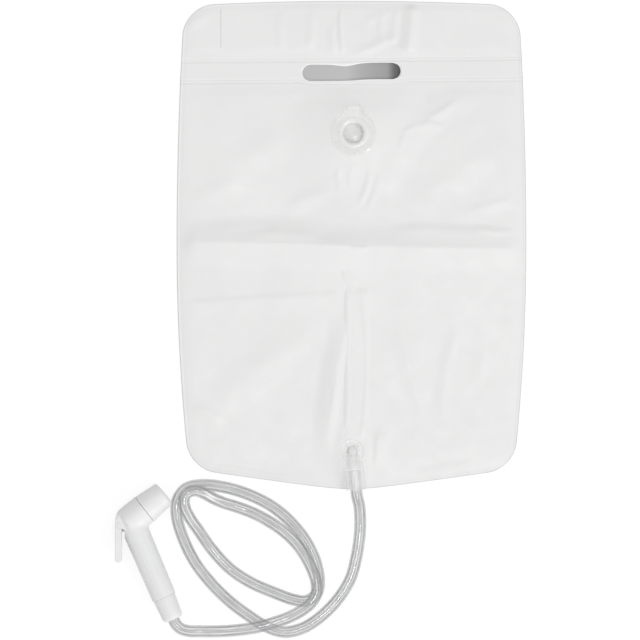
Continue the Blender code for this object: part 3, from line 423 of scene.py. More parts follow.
def shell_finish():
    """White moulded plastic: slight flow marks, fingerprints in the gloss and a fine spark-eroded grain."""
    finish, tree, shader = new_finish("white_shell")
    place = coordinates(tree, "Object")
    flow = noise(tree, place, 45.0)
    tone = ramp(tree, flow, (0.3, (0.780, 0.782, 0.785, 1)), (0.7, (0.810, 0.811, 0.810, 1)))
    gloss = grey_ramp(tree, noise(tree, place, 120.0, 4.0, 0.6), (0.3, 0.42), (0.75, 0.56))
    fill(tree, shader, Base_Color=tone, Roughness=gloss, IOR=1.53, Subsurface_Weight=0.12,
         Subsurface_Radius=(1.0, 1.0, 0.95), Subsurface_Scale=4 * MM)
    add_bumps(tree, shader, (noise(tree, place, 3000.0, 2.0), 0.08, 0.1 * MM))
    return finish


def light_through(tree, alpha, share):
    """The alpha, less a share of itself for rays that carry light: clear plastic passes most of it on."""
    carries = ray_is(tree, "Is Shadow Ray", "Is Diffuse Ray")
    return worked_out(tree, "MULTIPLY", alpha, carried_over(tree, carries, 0.0, 1.0, 1.0, 1.0 - share))


def clear_finish(name, tint, body, edge, roughness):
    """Clear soft PVC: see-through face on, milkier where it turns away, glossy, dented and cloudy."""
    finish, tree, shader = new_finish(name)
    place = coordinates(tree, "Object")
    low = tuple(0.95 * c for c in tint)
    tone = ramp(tree, noise(tree, place, 90.0), (0.3, (*low, 1)), (0.7, (*tint, 1)))
    gloss = grey_ramp(tree, noise(tree, place, 260.0, 2.0), (0.3, roughness), (0.8, roughness + 0.10))
    facing = add_node(tree, "ShaderNodeLayerWeight", Blend=0.35).outputs["Facing"]
    milk = grey_ramp(tree, facing, (0.0, body), (1.0, edge))
    fill(tree, shader, Base_Color=tone, Roughness=gloss, Alpha=light_through(tree, milk, 0.9), IOR=1.5,
         Coat_Weight=0.8, Coat_Roughness=0.08)
    add_bumps(tree, shader, (noise(tree, place, 420.0, 2.0), 0.12, 0.2 * MM))
    return finish


def hose_finish():
    """Clear extruded tube, greyer where it turns away, with die lines along it, and a painted highlight line
    and a painted shade band along each side.

    Its UV runs in turns of 20 mm along the tube and once round it, and the die lines are
    noise stretched along the tube that shifts the tint and the clearness.
    """
    finish, tree, shader = new_finish("clear_hose")
    streak = noise(tree, coordinates(tree, "UV", stretch=(0.30, 7.0, 1.0)), 3.0, 3.0, 0.6)
    tint = ramp(tree, streak, (0.35, (0.27, 0.272, 0.28, 1)), (0.65, (0.42, 0.424, 0.43, 1)))
    facing = add_node(tree, "ShaderNodeLayerWeight", Blend=0.4).outputs["Facing"]
    edge = grey_ramp(tree, facing, (0.0, 0.27), (0.7, 0.36), (1.0, 0.78))
    alpha = worked_out(tree, "MULTIPLY", edge, grey_ramp(tree, streak, (0.3, 1.25), (0.7, 0.75)))
    # the first 20 mm lie inside the cuff over the white film: they are made clearer, and their colour is
    # painted lighter, painted light from the film under them
    along = fed(tree, "ShaderNodeSeparateXYZ", coordinates(tree, "UV"))
    free = carried_over(tree, along, 0.95, 1.1, 0.35, 1.0)
    alpha = worked_out(tree, "MULTIPLY", alpha, free)
    # each side of the tube carries a painted shade band with a painted highlight line inside it, standing in
    # for light refracted by the wall and the bore, and both fade in and out along the tube
    wander = noise(tree, coordinates(tree, "UV", stretch=(0.45, 1.0, 1.0)), 1.6, 2.0)
    fades = grey_ramp(tree, wander, (0.34, 0.25), (0.56, 1.0))
    pale = grey_ramp(tree, facing, (0.060, 0.0), (0.090, 1.0), (0.125, 1.0), (0.165, 0.0))
    dark = grey_ramp(tree, facing, (0.165, 0.0), (0.215, 1.0), (0.55, 0.60), (1.0, 0.35))
    painted_highlight_line = (pale, (0.92, 0.92, 0.93, 1), 0.02)
    painted_shade_band = (dark, (0.22, 0.223, 0.232, 1), 0.41)
    for line, colour, line_alpha in (painted_highlight_line, painted_shade_band):
        share = worked_out(tree, "MULTIPLY", fades, line)
        tint = mixed(tree, share, tint, colour)
        alpha = mixed(tree, share, alpha, grey(line_alpha))
    # inside the cuff the base colour is a painted light grey: painted light from the film under the hose
    fill(tree, shader, Base_Color=mixed(tree, free, grey(0.80), tint), Alpha=light_through(tree, alpha, 0.62),
         Roughness=0.04, IOR=1.5, Coat_Weight=1.0, Coat_IOR=1.9, Coat_Roughness=0.03)
    add_bumps(tree, shader, (streak, 0.25, 0.4 * MM))
    return finish


def metal_finish(name, colour, roughness, scale):
    """Turned metal with fine tool lines and a little staining."""
    finish, tree, shader = new_finish(name)
    place = coordinates(tree, "Object", stretch=(6, 1, 1))
    stain = noise(tree, place, 160.0, 4.0, 0.6)
    dark = tuple(0.7 * c for c in colour)
    fill(tree, shader, Base_Color=ramp(tree, stain, (0.35, (*dark, 1)), (0.65, (*colour, 1))), Metallic=1.0,
         Roughness=grey_ramp(tree, stain, (0.3, roughness), (0.7, roughness + 0.15)))
    lines = add_node(tree, "ShaderNodeTexWave", Vector=place, Scale=scale, Distortion=0.4, Detail=2.0)
    add_bumps(tree, shader, (lines.outputs["Fac"], 0.08, 0.1 * MM))
    return finish


def rubber_finish():
    """Black seal rubber with a talc bloom."""
    finish, tree, shader = new_finish("seal_rubber")
    place = coordinates(tree, "Object")
    bloom = noise(tree, place, 300.0, 4.0, 0.65)
    fill(tree, shader, Base_Color=grey_ramp(tree, bloom, (0.4, 0.022), (0.75, 0.06)),
         Roughness=grey_ramp(tree, bloom, (0.3, 0.55), (0.7, 0.8)))
    add_bumps(tree, shader, (noise(tree, place, 1800.0, 2.0), 0.2, 0.1 * MM))
    return finish


FILM_FINISH = film_finish()
INNER_FILM_FINISH = inner_film_finish()
SHELL_FINISH = shell_finish()
VALVE_FINISH = clear_finish("clear_valve", (0.78, 0.78, 0.755), 0.22, 0.62, 0.08)
PLUG_FINISH = clear_finish("clear_plug", (0.865, 0.865, 0.84), 0.32, 0.56, 0.08)
OUTLET_FINISH = clear_finish("clear_outlet", (0.76, 0.76, 0.755), 0.22, 0.52, 0.16)
SLEEVE_FINISH = clear_finish("clear_sleeve", (0.84, 0.84, 0.84), 0.12, 0.45, 0.10)
HOSE_FINISH = hose_finish()
BRASS_FINISH = metal_finish("turned_brass", (0.72, 0.55, 0.27), 0.24, 300.0)
STEEL_FINISH = metal_finish("stainless_steel", (0.62, 0.62, 0.64), 0.2, 420.0)
RUBBER_FINISH = rubber_finish()


# The hose, built first: its route repeats the part's source, from the outlet

HOSE_ROUTE = [
    (0.00212, -0.02019, 0.0119),
    (0.00439, -0.04177, 0.0119),
    (0.00491, -0.04674, 0.0119),
    (0.0073, -0.0572, 0.0106),
    (0.0083, -0.0714, 0.0078),
    (0.0077, -0.0892, 0.0067),
    (0.0041, -0.1123, 0.0066),
    (-0.0022, -0.1344, 0.0066),
    (-0.0152, -0.1554, 0.0066),
    (-0.0333, -0.1738, 0.0066),
    (-0.0517, -0.1856, 0.0066),
    (-0.0717, -0.1898, 0.0066),
    (-0.0911, -0.1837, 0.0066),
    (-0.1100, -0.1718, 0.0066),
    (-0.1298, -0.1567, 0.0066),
    (-0.1485, -0.1381, 0.0066),
    (-0.1651, -0.1165, 0.0066),
    (-0.1771, -0.0924, 0.0066),
    (-0.1838, -0.0703, 0.0066),
    (-0.1836, -0.0520, 0.0066),
    (-0.1751, -0.0397, 0.0066),
    (-0.1588, -0.0356, 0.0066),
    (-0.1357, -0.0377, 0.0066),
    (-0.1105, -0.0449, 0.0066),
    (-0.0853, -0.0573, 0.0066),
    (-0.0646, -0.0743, 0.0066),
    (-0.0484, -0.0950, 0.0066),
    (-0.0383, -0.1165, 0.0066),
    (-0.0349, -0.1354, 0.0066),
    (-0.0374, -0.1493, 0.0066),
    (-0.0475, -0.1571, 0.0066),
    (-0.0612, -0.1560, 0.0066),
    (-0.0811, -0.1489, 0.0066),
    (-0.1063, -0.1380, 0.0066),
    (-0.1284, -0.1233, 0.0067),
    (-0.1477, -0.1025, 0.0080),
    (-0.1605, -0.0840, 0.0116),
    (-0.1706, -0.0693, 0.0166),
    (-0.1758, -0.0577, 0.0196),
    (-0.1760, -0.0483, 0.0201),
    (-0.1711, -0.0424, 0.0201),
    (-0.1635, -0.0411, 0.0199),
    (-0.1551, -0.0442, 0.0183),
    (-0.1462, -0.0493, 0.0138),
    (-0.1357, -0.0540, 0.0094),
    (-0.1196, -0.0591, 0.0069),
    (-0.1023, -0.0658, 0.0068),
    (-0.0853, -0.0750, 0.0098),
    (-0.0717, -0.0844, 0.0136),
    (-0.0601, -0.0951, 0.0170),
    (-0.0507, -0.1075, 0.0192),
    (-0.0429, -0.1218, 0.0201),
    (-0.0377, -0.1365, 0.0203),
    (-0.0377, -0.1486, 0.0203),
    (-0.0435, -0.1590, 0.0202),
    (-0.0533, -0.1669, 0.0198),
    (-0.0664, -0.1739, 0.0188),
    (-0.0801, -0.1788, 0.0196),
    (-0.0937, -0.1829, 0.0203),
    (-0.1084, -0.1858, 0.0199),
    (-0.1252, -0.1879, 0.0165),
    (-0.1431, -0.1889, 0.0126),
    (-0.1599, -0.1889, 0.0116),
    (-0.1709, -0.1886, 0.0132),
    (-0.1796, -0.1861, 0.0154),
    (-0.18567, -0.18007, 0.0163),
    (-0.187, -0.17694, 0.0163),
    (-0.19622, -0.15533, 0.0163),
]


def smooth_route(points, step):
    """A smooth curve through points: cubic pieces whose end slopes weigh each chord by its root."""
    chosen = np.array(points, float)
    ends = np.vstack([2 * chosen[0] - chosen[1], chosen, 2 * chosen[-1] - chosen[-2]])
    pieces = []
    for a, b, c, d in zip(ends, ends[1:], ends[2:], ends[3:]):
        before, here, after = (math.sqrt(np.linalg.norm(q - p)) for p, q in ((a, b), (b, c), (c, d)))
        start = here * ((b - a) / before - (c - a) / (before + here) + (c - b) / here)
        end = here * ((c - b) / here - (d - b) / (here + after) + (d - c) / after)
        count = max(2, math.ceil(np.linalg.norm(c - b) / step))
        t = np.linspace(0, 1, count, endpoint=False)[:, None]
        pieces.append(
            (2 * t**3 - 3 * t**2 + 1) * b + (t**3 - 2 * t**2 + t) * start
            + (3 * t**2 - 2 * t**3) * c + (t**3 - t**2) * end
        )
    return np.vstack([*pieces, chosen[-1:]])


def way_along(line):
    """How far along a line each of its points lies."""
    return np.concatenate([[0], np.cumsum(np.linalg.norm(np.diff(line, axis=0), axis=1))])


def even_points(line, step):
    """Points at equal distances along a line."""
    along = way_along(line)
    at = np.linspace(0, along[-1], max(2, round(along[-1] / step)) + 1)
    return np.stack([np.interp(at, along, line[:, k]) for k in range(3)], axis=1)


def line_frames(line):
    """Tangent, level side and upper side at each point of a line that never stands upright."""
    tangent = np.gradient(line, axis=0)
    tangent /= np.linalg.norm(tangent, axis=1)[:, None]
    side = np.cross((0, 0, 1), tangent)
    side /= np.linalg.norm(side, axis=1)[:, None]
    return tangent, side, np.cross(tangent, side)


def make_hose():
    """An outer and an inner tube about one line, joined by a ring at each end.

    point = line + r (cos v side + sin v upper), with r the outer radius on the way out
    and the bore's on the way back, so that the wall is one closed surface.
    """
    uv_turn = 20 * MM
    route = np.array(HOSE_ROUTE) + (*OUTLET, 0)
    line = even_points(smooth_route(route, 1 * MM), HOSE_STEP)
    _, side, upper = line_frames(line)
    angle = np.linspace(0, 2 * np.pi, HOSE_SIDES, endpoint=False)
    round_it = np.cos(angle)[None, :, None] * side[:, None] + np.sin(angle)[None, :, None] * upper[:, None]
    outer = line[:, None] + HOSE_RADIUS * round_it
    inner = line[:, None] + HOSE_BORE_RADIUS * round_it
    points = np.concatenate([outer, inner[::-1]])
    along = way_along(line)
    out_and_back = np.concatenate([along, along[::-1]]) / uv_turn
    uv = np.stack(np.broadcast_arrays(out_and_back[:, None], angle[None] / (2 * np.pi)), axis=-1)
    quads = grid_quads(len(points), HOSE_SIDES, close_rows=True, close_columns=True)
    hose = new_piece("hose_tube", points, quads[:, ::-1], HOSE_FINISH, uv.reshape(-1, 2))
    fit_in(hose, "bag", "hose")


# Camera: straight down, far away, so that the view is nearly parallel

def make_camera():
    """The frame's width at the ground is the picture's side, whatever the camera's height."""
    distance, sensor = 9.0, 36
    middle = PICTURE_SIDE / 2
    camera = bpy.data.objects.new("camera", bpy.data.cameras.new("camera"))
    bpy.context.scene.collection.objects.link(camera)
    camera.data.sensor_width = sensor
    camera.data.lens = sensor * distance / (PICTURE_SIDE * PIXEL)
    camera.data.clip_start, camera.data.clip_end = 0.1, 100
    camera.location = ((middle - CENTRE_COLUMN) * PIXEL, (CENTRE_ROW - middle) * PIXEL, distance)
    bpy.context.scene.camera = camera


make_camera()
make_hose()


# Outline of the films

def half_width(level):
    """Half the bag's width at a level: w (1 - k v^2), with v from -1 at the foot to 1 at the head."""
    taper = np.where(level > 0, HEADER_TAPER, FOOT_TAPER)
    return BAG_WIDTH / 2 * (1 - taper * (2 * level / BAG_LENGTH) ** 2)


def foot_rise(x):
    """How far the foot's edge rises towards its sides: a V with a round point, sqrt(u^2 + p^2) - p."""
    whole = math.hypot(1, FOOT_POINT) - FOOT_POINT
    return FOOT_DROP * (np.hypot(np.abs(x) / (BAG_WIDTH / 2), FOOT_POINT) - FOOT_POINT) / whole


def edge_reach(level):
    """Half the width at a level, less the bite of the rounded corner there."""
    reach = half_width(level)
    for radius, depth in ((HEADER_CORNER, HEAD_SIDE_Y - level), (FOOT_CORNER, level - FOOT_SIDE_Y)):
        inside = np.clip(depth, 0, radius)
        reach = reach - radius + np.sqrt(np.maximum(radius**2 - (radius - inside) ** 2, 0))
    return reach


def head_crown(x):
    """How far the head's edge stands above its ends: c (1 - u^2)."""
    return HEADER_CROWN * (1 - (2 * x / BAG_WIDTH) ** 2)


def film_points(across, level):
    """Places on the film from a share across it and a level.

    x = share times the reach there; y = level, plus the head's crown and less the foot's
    drop, which both grow with the square of the way towards their end.
    """
    x = across * edge_reach(level)
    to_head = np.clip((level - UPPER_SEAM_Y) / (HEAD_SIDE_Y - UPPER_SEAM_Y), 0, 1)
    to_foot = np.clip(level / FOOT_SIDE_Y, 0, 1)
    return x, level + head_crown(x) * to_head**2 - (FOOT_DROP - foot_rise(x)) * to_foot**2


def film_rows():
    """Levels from the foot to the head, closer in the corners, the crease, the seams and the slot."""
    turn = np.linspace(0, np.pi / 2, 13)[:-1]
    foot = FOOT_SIDE_Y + FOOT_CORNER * (1 - np.cos(turn))
    head = HEAD_SIDE_Y - HEADER_CORNER * (1 - np.cos(turn[::-1]))
    stops = (FOOT_SIDE_Y + FOOT_CORNER, CREASE_FOOT, CREASE_HEAD,
             LOWER_SEAM_Y - 3 * MM, UPPER_SEAM_Y + 4 * MM, HEAD_SIDE_Y - HEADER_CORNER)
    steps = (2.4 * MM, 1.7 * MM, 2.4 * MM, 0.75 * MM, 2.2 * MM)
    middle = []
    for start, end, step in zip(stops, stops[1:], steps):
        middle.append(np.linspace(start, end, round((end - start) / step), endpoint=False))
    return np.concatenate([foot, *middle, stops[-1:], head, [HEAD_SIDE_Y]])


def film_columns():
    """Shares across the bag, closer over the channel and at the welded sides."""
    over_channel = np.linspace(0, 0.125, 22, endpoint=False)
    open_film = np.linspace(0.125, 0.975, 65)
    side_weld = np.linspace(0.982, 1, 5)
    half = np.concatenate([over_channel, open_film, side_weld])
    return np.concatenate([-half[:0:-1], half])


def edge_distance(x, y):
    """About how far a point lies inside the bag's outline; in a corner, from the corner's arc."""
    side = half_width(y) - np.abs(x)
    head = HEAD_SIDE_Y + head_crown(x) - y
    foot = y + BAG_LENGTH / 2 - foot_rise(x)
    result = np.minimum(side, np.minimum(head, foot))
    for end, radius in ((head, HEADER_CORNER), (foot, FOOT_CORNER)):
        inside = (side < radius) & (end < radius)
        result = np.where(inside, radius - np.hypot(radius - side, radius - end), result)
    return np.maximum(result, 0)


# Seams and slot

def seam_tilt(x, y):
    """How far the rows beside the two cross seams are shifted along Y.

    Each seam leans with x, and the lower one is raised too and dips under the slot.
    """
    upper = UPPER_SEAM_LEAN * x * ease(1 - np.abs(y - UPPER_SEAM_Y) / SEAM_FADE)
    dip = SLOT_DIP * ease((SLOT_DIP_REACH - np.abs(x)) / SLOT_DIP_FADE)
    lower = (LOWER_SEAM_SHIFT + LOWER_SEAM_LEAN * x - dip) * ease(1 - np.abs(y - LOWER_SEAM_Y) / SEAM_FADE)
    return upper + lower


def seam_press(x, y):
    """How far the two welded cross seams press the film down: a band with a deeper line at each side."""
    depth = np.zeros_like(x)
    for level in (UPPER_SEAM_Y, LOWER_SEAM_Y):
        above = y - level - seam_tilt(x, np.full_like(x, level))
        gap = np.abs(above)
        band = ease((SEAM_HALF_WIDTH - gap) / (0.9 * MM))
        line = ease(1 - np.abs(gap - SEAM_LINE) / (0.8 * MM))
        line_depth = np.where(above < 0, SEAM_LOWER_LINE_DEPTH, SEAM_UPPER_LINE_DEPTH)
        depth = np.maximum(depth, SEAM_DEPTH * band + line_depth * line)
    return depth


def bell(x, middle, width):
    """exp(-((x - middle) / width)^2)"""
    return np.exp(-(((x - middle) / width) ** 2))


def slot_sag(x, y):
    """How far the slot's rim strays along Y.

    Its upper lip sags by 2.4 mm left of its middle and lifts by 0.5 mm right of it, and its
    whole left end lies 1.8 mm lower than its right end.
    """
    on_lip = ease((y - SLOT_Y + 2 * MM) / (9 * MM)) * ease((UPPER_SEAM_Y - 2 * MM - y) / (3.5 * MM))
    sag = 2.4 * MM * bell(x, -6.5 * MM, 11 * MM) - 0.5 * MM * bell(x, 30 * MM, 16 * MM)
    by_slot = ease((16.5 * MM - np.abs(y - SLOT_Y)) / (8 * MM)) * ease((75 * MM - np.abs(x)) / (25 * MM))
    lean = 0.9 * MM * np.tanh((x - 4 * MM) / (12 * MM)) + 0.1 * MM
    return lean * by_slot - sag * on_lip


# Folds

def way_past(x, y, route):
    """Distance from each point to a route of picture pixels, signed + on its left, and the share along it."""
    route = np.array(route, float)
    route = np.stack([(route[:, 0] - CENTRE_COLUMN) * PIXEL, (CENTRE_ROW - route[:, 1]) * PIXEL], axis=1)
    steps = np.diff(route, axis=0)
    lengths = np.linalg.norm(steps, axis=1)
    begin = way_along(route)[:-1]
    away_x = x[..., None] - route[:-1, 0]
    away_y = y[..., None] - route[:-1, 1]
    t = np.clip((away_x * steps[:, 0] + away_y * steps[:, 1]) / lengths**2, 0, 1)
    gap_x, gap_y = away_x - t * steps[:, 0], away_y - t * steps[:, 1]
    gap = np.hypot(gap_x, gap_y)
    nearest = gap.argmin(axis=-1)[..., None]

    def at_nearest(values):
        return np.take_along_axis(values, nearest, axis=-1)[..., 0]

    side = np.sign(at_nearest(steps[:, 0] * gap_y - steps[:, 1] * gap_x))
    return side * at_nearest(gap), at_nearest(begin + t * lengths) / lengths.sum()


def folds(x, y, table):
    """The folds of a table added up. Each falls to nothing at its reach on either side of its route.

    h = height ((1 - c) (1 + 2 s) + c) (1 - s)^2, with s the share of the reach and c the
    sharpness, so that its top turns from round to a crease; it fades at both ends.
    """
    total = np.zeros_like(x)
    for route, height, left, right, sharp, fade in table:
        gap, share = way_past(x, y, route)
        s = np.clip(np.where(gap > 0, gap / (left * MM), -gap / (right * MM)), 0, 1)
        shape = ((1 - sharp) * (1 + 2 * s) + sharp) * (1 - s) ** 2
        total += height * MM * shape * ease(share / fade) * ease((1 - share) / fade)
    return total


# Folds of the front film: route in picture pixels, height in mm, reach in mm on the left and on
# the right of the way, sharpness, and the share of the route over which each end fades
FILM_FOLDS = [
    # the crease across the middle, where the bag was folded in two
    ([(170, 241), (230, 243), (290, 244), (345, 246), (352, 246.5), (372, 246.5), (420, 248), (470, 248.5),
      (530, 249)],
     1.30, 25, 28, 0.5, 0.05),
    ([(190, 242), (230, 243), (290, 244), (345, 246), (378, 247)], 0.75, 16, 30, 0.4, 0.3),
    ([(195, 232), (240, 228), (290, 228), (338, 232)], 0.55, 14, 18, 0.1, 0.3),
    ([(245, 236), (275, 233), (325, 236)], 0.4, 8, 10, 0.2, 0.3),
    ([(385, 231), (425, 229), (470, 232), (515, 231)], 0.45, 9, 14, 0.2, 0.25),
    # the pinch in its middle
    ([(349, 247.5), (360, 248.5), (371, 248)], 0.5, 3.5, 3, 0.9, 0.3),
    # the fold from the left edge to the channel
    ([(178, 303), (225, 300), (280, 297), (343, 293)], 0.20, 3.5, 22, 0.7, 0.08),
    # the flare at the channel's head
    ([(341, 268), (346, 279), (352, 289), (362, 292)], 0.26, 5, 3, 0.6, 0.25),
    ([(347, 266), (353, 276), (357, 286)], 0.18, 3, 4, 0.6, 0.3),
    # the soft valley beside it and the swell that follows
    ([(349, 305), (344, 335), (339, 362), (334, 388), (331, 415), (329, 445), (326, 474)],
     1.05, 9, 20, 0.10, 0.35),
    ([(341, 375), (336, 390), (335, 408), (338, 424)], 0.28, 5, 6, 0.3, 0.35),
    # soft folds low on the right
    ([(398, 316), (404, 348), (412, 375), (420, 400), (425, 438)], 0.36, 5.0, 15, 0.3, 0.4),
    ([(452, 298), (457, 332), (449, 365), (444, 400), (447, 444)], 0.47, 5.0, 15, 0.3, 0.4),
    ([(478, 320), (484, 350), (480, 390)], 0.25, 8, 14, 0.2, 0.3),
    # soft folds between the valve and the crease
    ([(376, 216), (388, 186), (398, 160), (414, 136), (440, 111), (492, 86)], 0.30, 22, 18, 0.2, 0.25),
    ([(424, 119), (440, 112), (458, 99)], 0.34, 4, 9, 0.4, 0.3),
    ([(412, 127), (428, 123), (447, 128)], 0.30, 4, 8, 0.4, 0.3),
    ([(397, 154), (401, 144), (405, 131), (420, 122)], 0.42, 3.5, 8, 0.5, 0.3),
    ([(368, 160), (370, 176), (366, 192), (358, 207)], 0.50, 5, 7, 0.4, 0.3),
    ([(378, 168), (379, 184), (372, 200), (366, 214)], 0.30, 6, 8, 0.3, 0.3),
    ([(340, 164), (338, 178), (343, 192)], 0.30, 5, 7, 0.3, 0.3),
    ([(354, 165), (350, 176), (352, 188)], 0.28, 4, 6, 0.3, 0.3),
    ([(285, 207), (310, 198), (335, 188)], 0.30, 12, 16, 0.3, 0.3),
    ([(196, 190), (245, 160), (300, 126)], 0.35, 26, 26, 0.1, 0.35),
    ([(184, 206), (215, 192), (262, 172)], 0.20, 16, 20, 0.1, 0.35),
    ([(400, 218), (430, 192), (470, 165), (515, 140)], 0.32, 22, 26, 0.15, 0.3),
    ([(462, 214), (492, 205), (520, 198)], 0.25, 9, 12, 0.4, 0.3),
    ([(470, 226), (495, 232), (522, 231)], 0.22, 5, 7, 0.6, 0.3),
    ([(426, 94), (436, 105), (447, 118)], 0.25, 5, 8, 0.3, 0.3),
    # low on the left
    ([(190, 420), (240, 385), (290, 345), (330, 315)], 0.45, 28, 30, 0.1, 0.35),
    ([(188, 405), (204, 412), (226, 424)], 0.45, 10, 12, 0.2, 0.3),
    ([(205, 459), (232, 464), (262, 470), (292, 476)], -0.5, 9, 9, 0.3, 0.25),
    ([(405, 470), (440, 462), (480, 455)], -0.25, 9, 9, 0.2, 0.3),
]

# The channel's two edges under the film, and a fold beside the outlet, as folds on top of it
CHANNEL_FOLDS = [
    ([(349.5, 291), (349, 330), (348.5, 360), (349.5, 400), (347, 420), (341, 438)],
     0.32, 1.8, 9.0, 0.6, 0.06),
    ([(361, 284), (362, 295), (364, 310), (366, 330), (368, 350), (368, 375), (366, 400), (364, 425),
      (361, 440)],
     0.45, 2.0, 5.0, 0.6, 0.06),
    ([(379, 426), (378, 448), (377, 470)], 1.60, 14, 6, 0.2, 0.35),
]

# Folds of the header, above the upper seam
HEADER_FOLDS = [
    ([(341, 6), (340.5, 20), (341.5, 38), (344, 56)], 0.62, 3.2, 5.5, 0.5, 0.22),
    ([(331, 26), (333, 40), (336, 55)], 0.5, 4, 8, 0.2, 0.25),
    ([(413, 3), (412.5, 20), (411, 36), (408, 54)], 1.4, 9, 14, 0.25, 0.12),
    ([(398, 6), (396, 25), (393, 46)], 0.45, 4, 8, 0.3, 0.2),
    ([(384, 10), (381, 28), (384, 48)], 0.40, 5, 7, 0.3, 0.25),
    ([(280, 12), (281, 30), (283, 52)], 0.36, 6, 10, 0.2, 0.2),
    ([(312, 10), (313, 30), (311, 50)], 0.35, 5, 9, 0.2, 0.2),
    ([(350, 57), (370, 50), (390, 41), (402, 34)], 0.55, 10, 5, 0.3, 0.25),
    ([(362, 24), (378, 16), (396, 10)], 0.35, 6, 6, 0.3, 0.25),
    ([(185, 30), (196, 20), (212, 14)], 0.35, 7, 9, 0.2, 0.25),
]

# How far the folds of the water space and of the header are raised
FOLD_SHARE, HEADER_FOLD_SHARE = 2.7, 1.9


def ripple(x, y, seed, shortest, longest, count, height):
    """Rolling film: a sum of cosines of chosen lengths in random directions, each as high as it is long."""
    chance = np.random.default_rng(seed)
    lengths = chance.uniform(shortest, longest, count)
    turns = chance.uniform(0, np.pi, count)
    phases = chance.uniform(0, 2 * np.pi, count)
    total = np.zeros_like(x)
    for length, turn, phase in zip(lengths, turns, phases):
        wave = np.cos(2 * np.pi * (x * np.cos(turn) + y * np.sin(turn)) / length + phase)
        total += length / longest * wave
    return height * total / math.sqrt(count)


def soft_least(a, b, width=6 * MM):
    """The lesser distance, rounded where the two meet: (a + b - sqrt((a - b)^2 + w^2)) / 2 + w / 8."""
    return (a + b - np.sqrt((a - b) ** 2 + width**2)) / 2 + width / 8


# Films

def front_film_height(x, y):
    """Height of the front film's inner face.

    The film steps up beside every weld and rises a little more towards the middle,
    swells to the valve's flange, lies over the drain channel and meets the outlet, and
    carries the folds between.
    """
    to_side = half_width(y) - EDGE_WELD - np.abs(x)
    to_head = HEAD_SIDE_Y - EDGE_WELD - y + head_crown(x)
    to_foot = y + BAG_LENGTH / 2 - foot_rise(x) - EDGE_WELD
    chamber = y < (UPPER_SEAM_Y + LOWER_SEAM_Y) / 2
    to_seam = np.where(chamber, LOWER_SEAM_Y - y, y - UPPER_SEAM_Y) - SEAM_HALF_WIDTH
    to_end = np.where(chamber, to_foot, to_head)
    free = np.maximum(soft_least(soft_least(to_side, to_end), to_seam), 0)
    slack = np.where(chamber, CHAMBER_RISE, HEADER_RISE) * (1 - np.exp(-free / (70 * MM)))
    height = WELD_STEP + NEAR_RISE * ease(free / (12 * MM)) + slack

    # folds fade out close to the welds
    still = ease(to_side / (18 * MM)) * ease(to_end / (10 * MM)) * ease(to_seam / (7 * MM))
    waves = ripple(x, y, 11, 45 * MM, 160 * MM, 26, 0.45 * MM) * np.where(chamber, 1.0, 0.35)
    fine = ripple(x, y, 5, 12 * MM, 35 * MM, 30, 0.08 * MM)
    height = height + (FOLD_SHARE * folds(x, y, FILM_FOLDS) * chamber + waves + fine) * still
    head_still = ease(to_end / (4 * MM)) * ease(to_seam / (5 * MM))
    height = height + HEADER_FOLD_SHARE * folds(x, y, HEADER_FOLDS) * ~chamber * head_still
    over_sheet = OVER_SHEET * ease(to_end / (3 * MM)) * ease(to_seam / (10 * MM)) * ease(to_side / (10 * MM))
    height = np.where(chamber, height, np.maximum(height, over_sheet))

    # over the drain channel
    past_channel = np.abs(x - CHANNEL_X) - CHANNEL_HALF_WIDTH
    over = ease(1 - past_channel / (11 * MM)) * ease((CHANNEL_HEAD_Y - y) / (6 * MM))
    height = np.maximum(height, OVER_CHANNEL * over)
    # up to the valve's flange and the outlet's
    valve_gap = np.hypot(x - VALVE[0], y - VALVE[1])
    near_valve = np.clip((74 * MM - valve_gap) / (51 * MM), 0, 1) ** 1.3
    height = height + (AT_VALVE - height) * near_valve * ease(to_seam / (30 * MM))
    outlet_gap = np.hypot(x - OUTLET[0], y - OUTLET[1])
    height = height + (AT_OUTLET - height) * ease((36 * MM - outlet_gap) / (23 * MM))
    height = height + folds(x, y, CHANNEL_FOLDS)
    # the edge weld: pressed flat, with a line where it starts
    weld_line = ease(1 - np.abs(np.minimum(to_side, to_end)) / (1.1 * MM))
    pressed = np.maximum(height, WELDED) - WELD_LINE_DEPTH * weld_line - seam_press(x, y)
    return np.maximum(pressed, LEAST_HEIGHT)


def back_film_height(x, y):
    """The back film lies on the ground, lifted a little by ripples."""
    return 0.04 * MM + 0.03 * MM * np.abs(np.sin(70 * x + 20 * y))


def hole_snapped(points, quads, centre, length, height):
    """Open a slot with round ends in a grid of points, and return the quads that are left.

    Quads whose middles lie inside go, and the rim's points move onto the slot: each lands at
    the nearest point of the slot's spine plus its direction from there times half the height.
    """
    radius = height / 2
    reach = length / 2 - radius

    def past(x, y):
        spine = np.clip(x - centre[0], -reach, reach)
        return spine, x - centre[0] - spine, y - centre[1]

    middle = points[quads].mean(axis=1)
    _, dx, dy = past(middle[:, 0], middle[:, 1])
    inside = np.hypot(dx, dy) < radius
    rim = np.intersect1d(np.unique(quads[inside]), np.unique(quads[~inside]))
    spine, dx, dy = past(points[rim, 0], points[rim, 1])
    size = np.maximum(np.hypot(dx, dy), 1e-9)
    points[rim, 0] = centre[0] + spine + dx / size * radius
    points[rim, 1] = centre[1] + dy / size * radius
    return quads[~inside]


def used_points(points, quads):
    """Drop the points that no quad uses."""
    used, again = np.unique(quads, return_inverse=True)
    return points[used], again.reshape(quads.shape)


def add_wall(piece, thickness):
    """Give an open surface its thickness, raised upwards."""
    wall = piece.modifiers.new("wall", "SOLIDIFY")
    wall.thickness = thickness
    wall.offset = 1


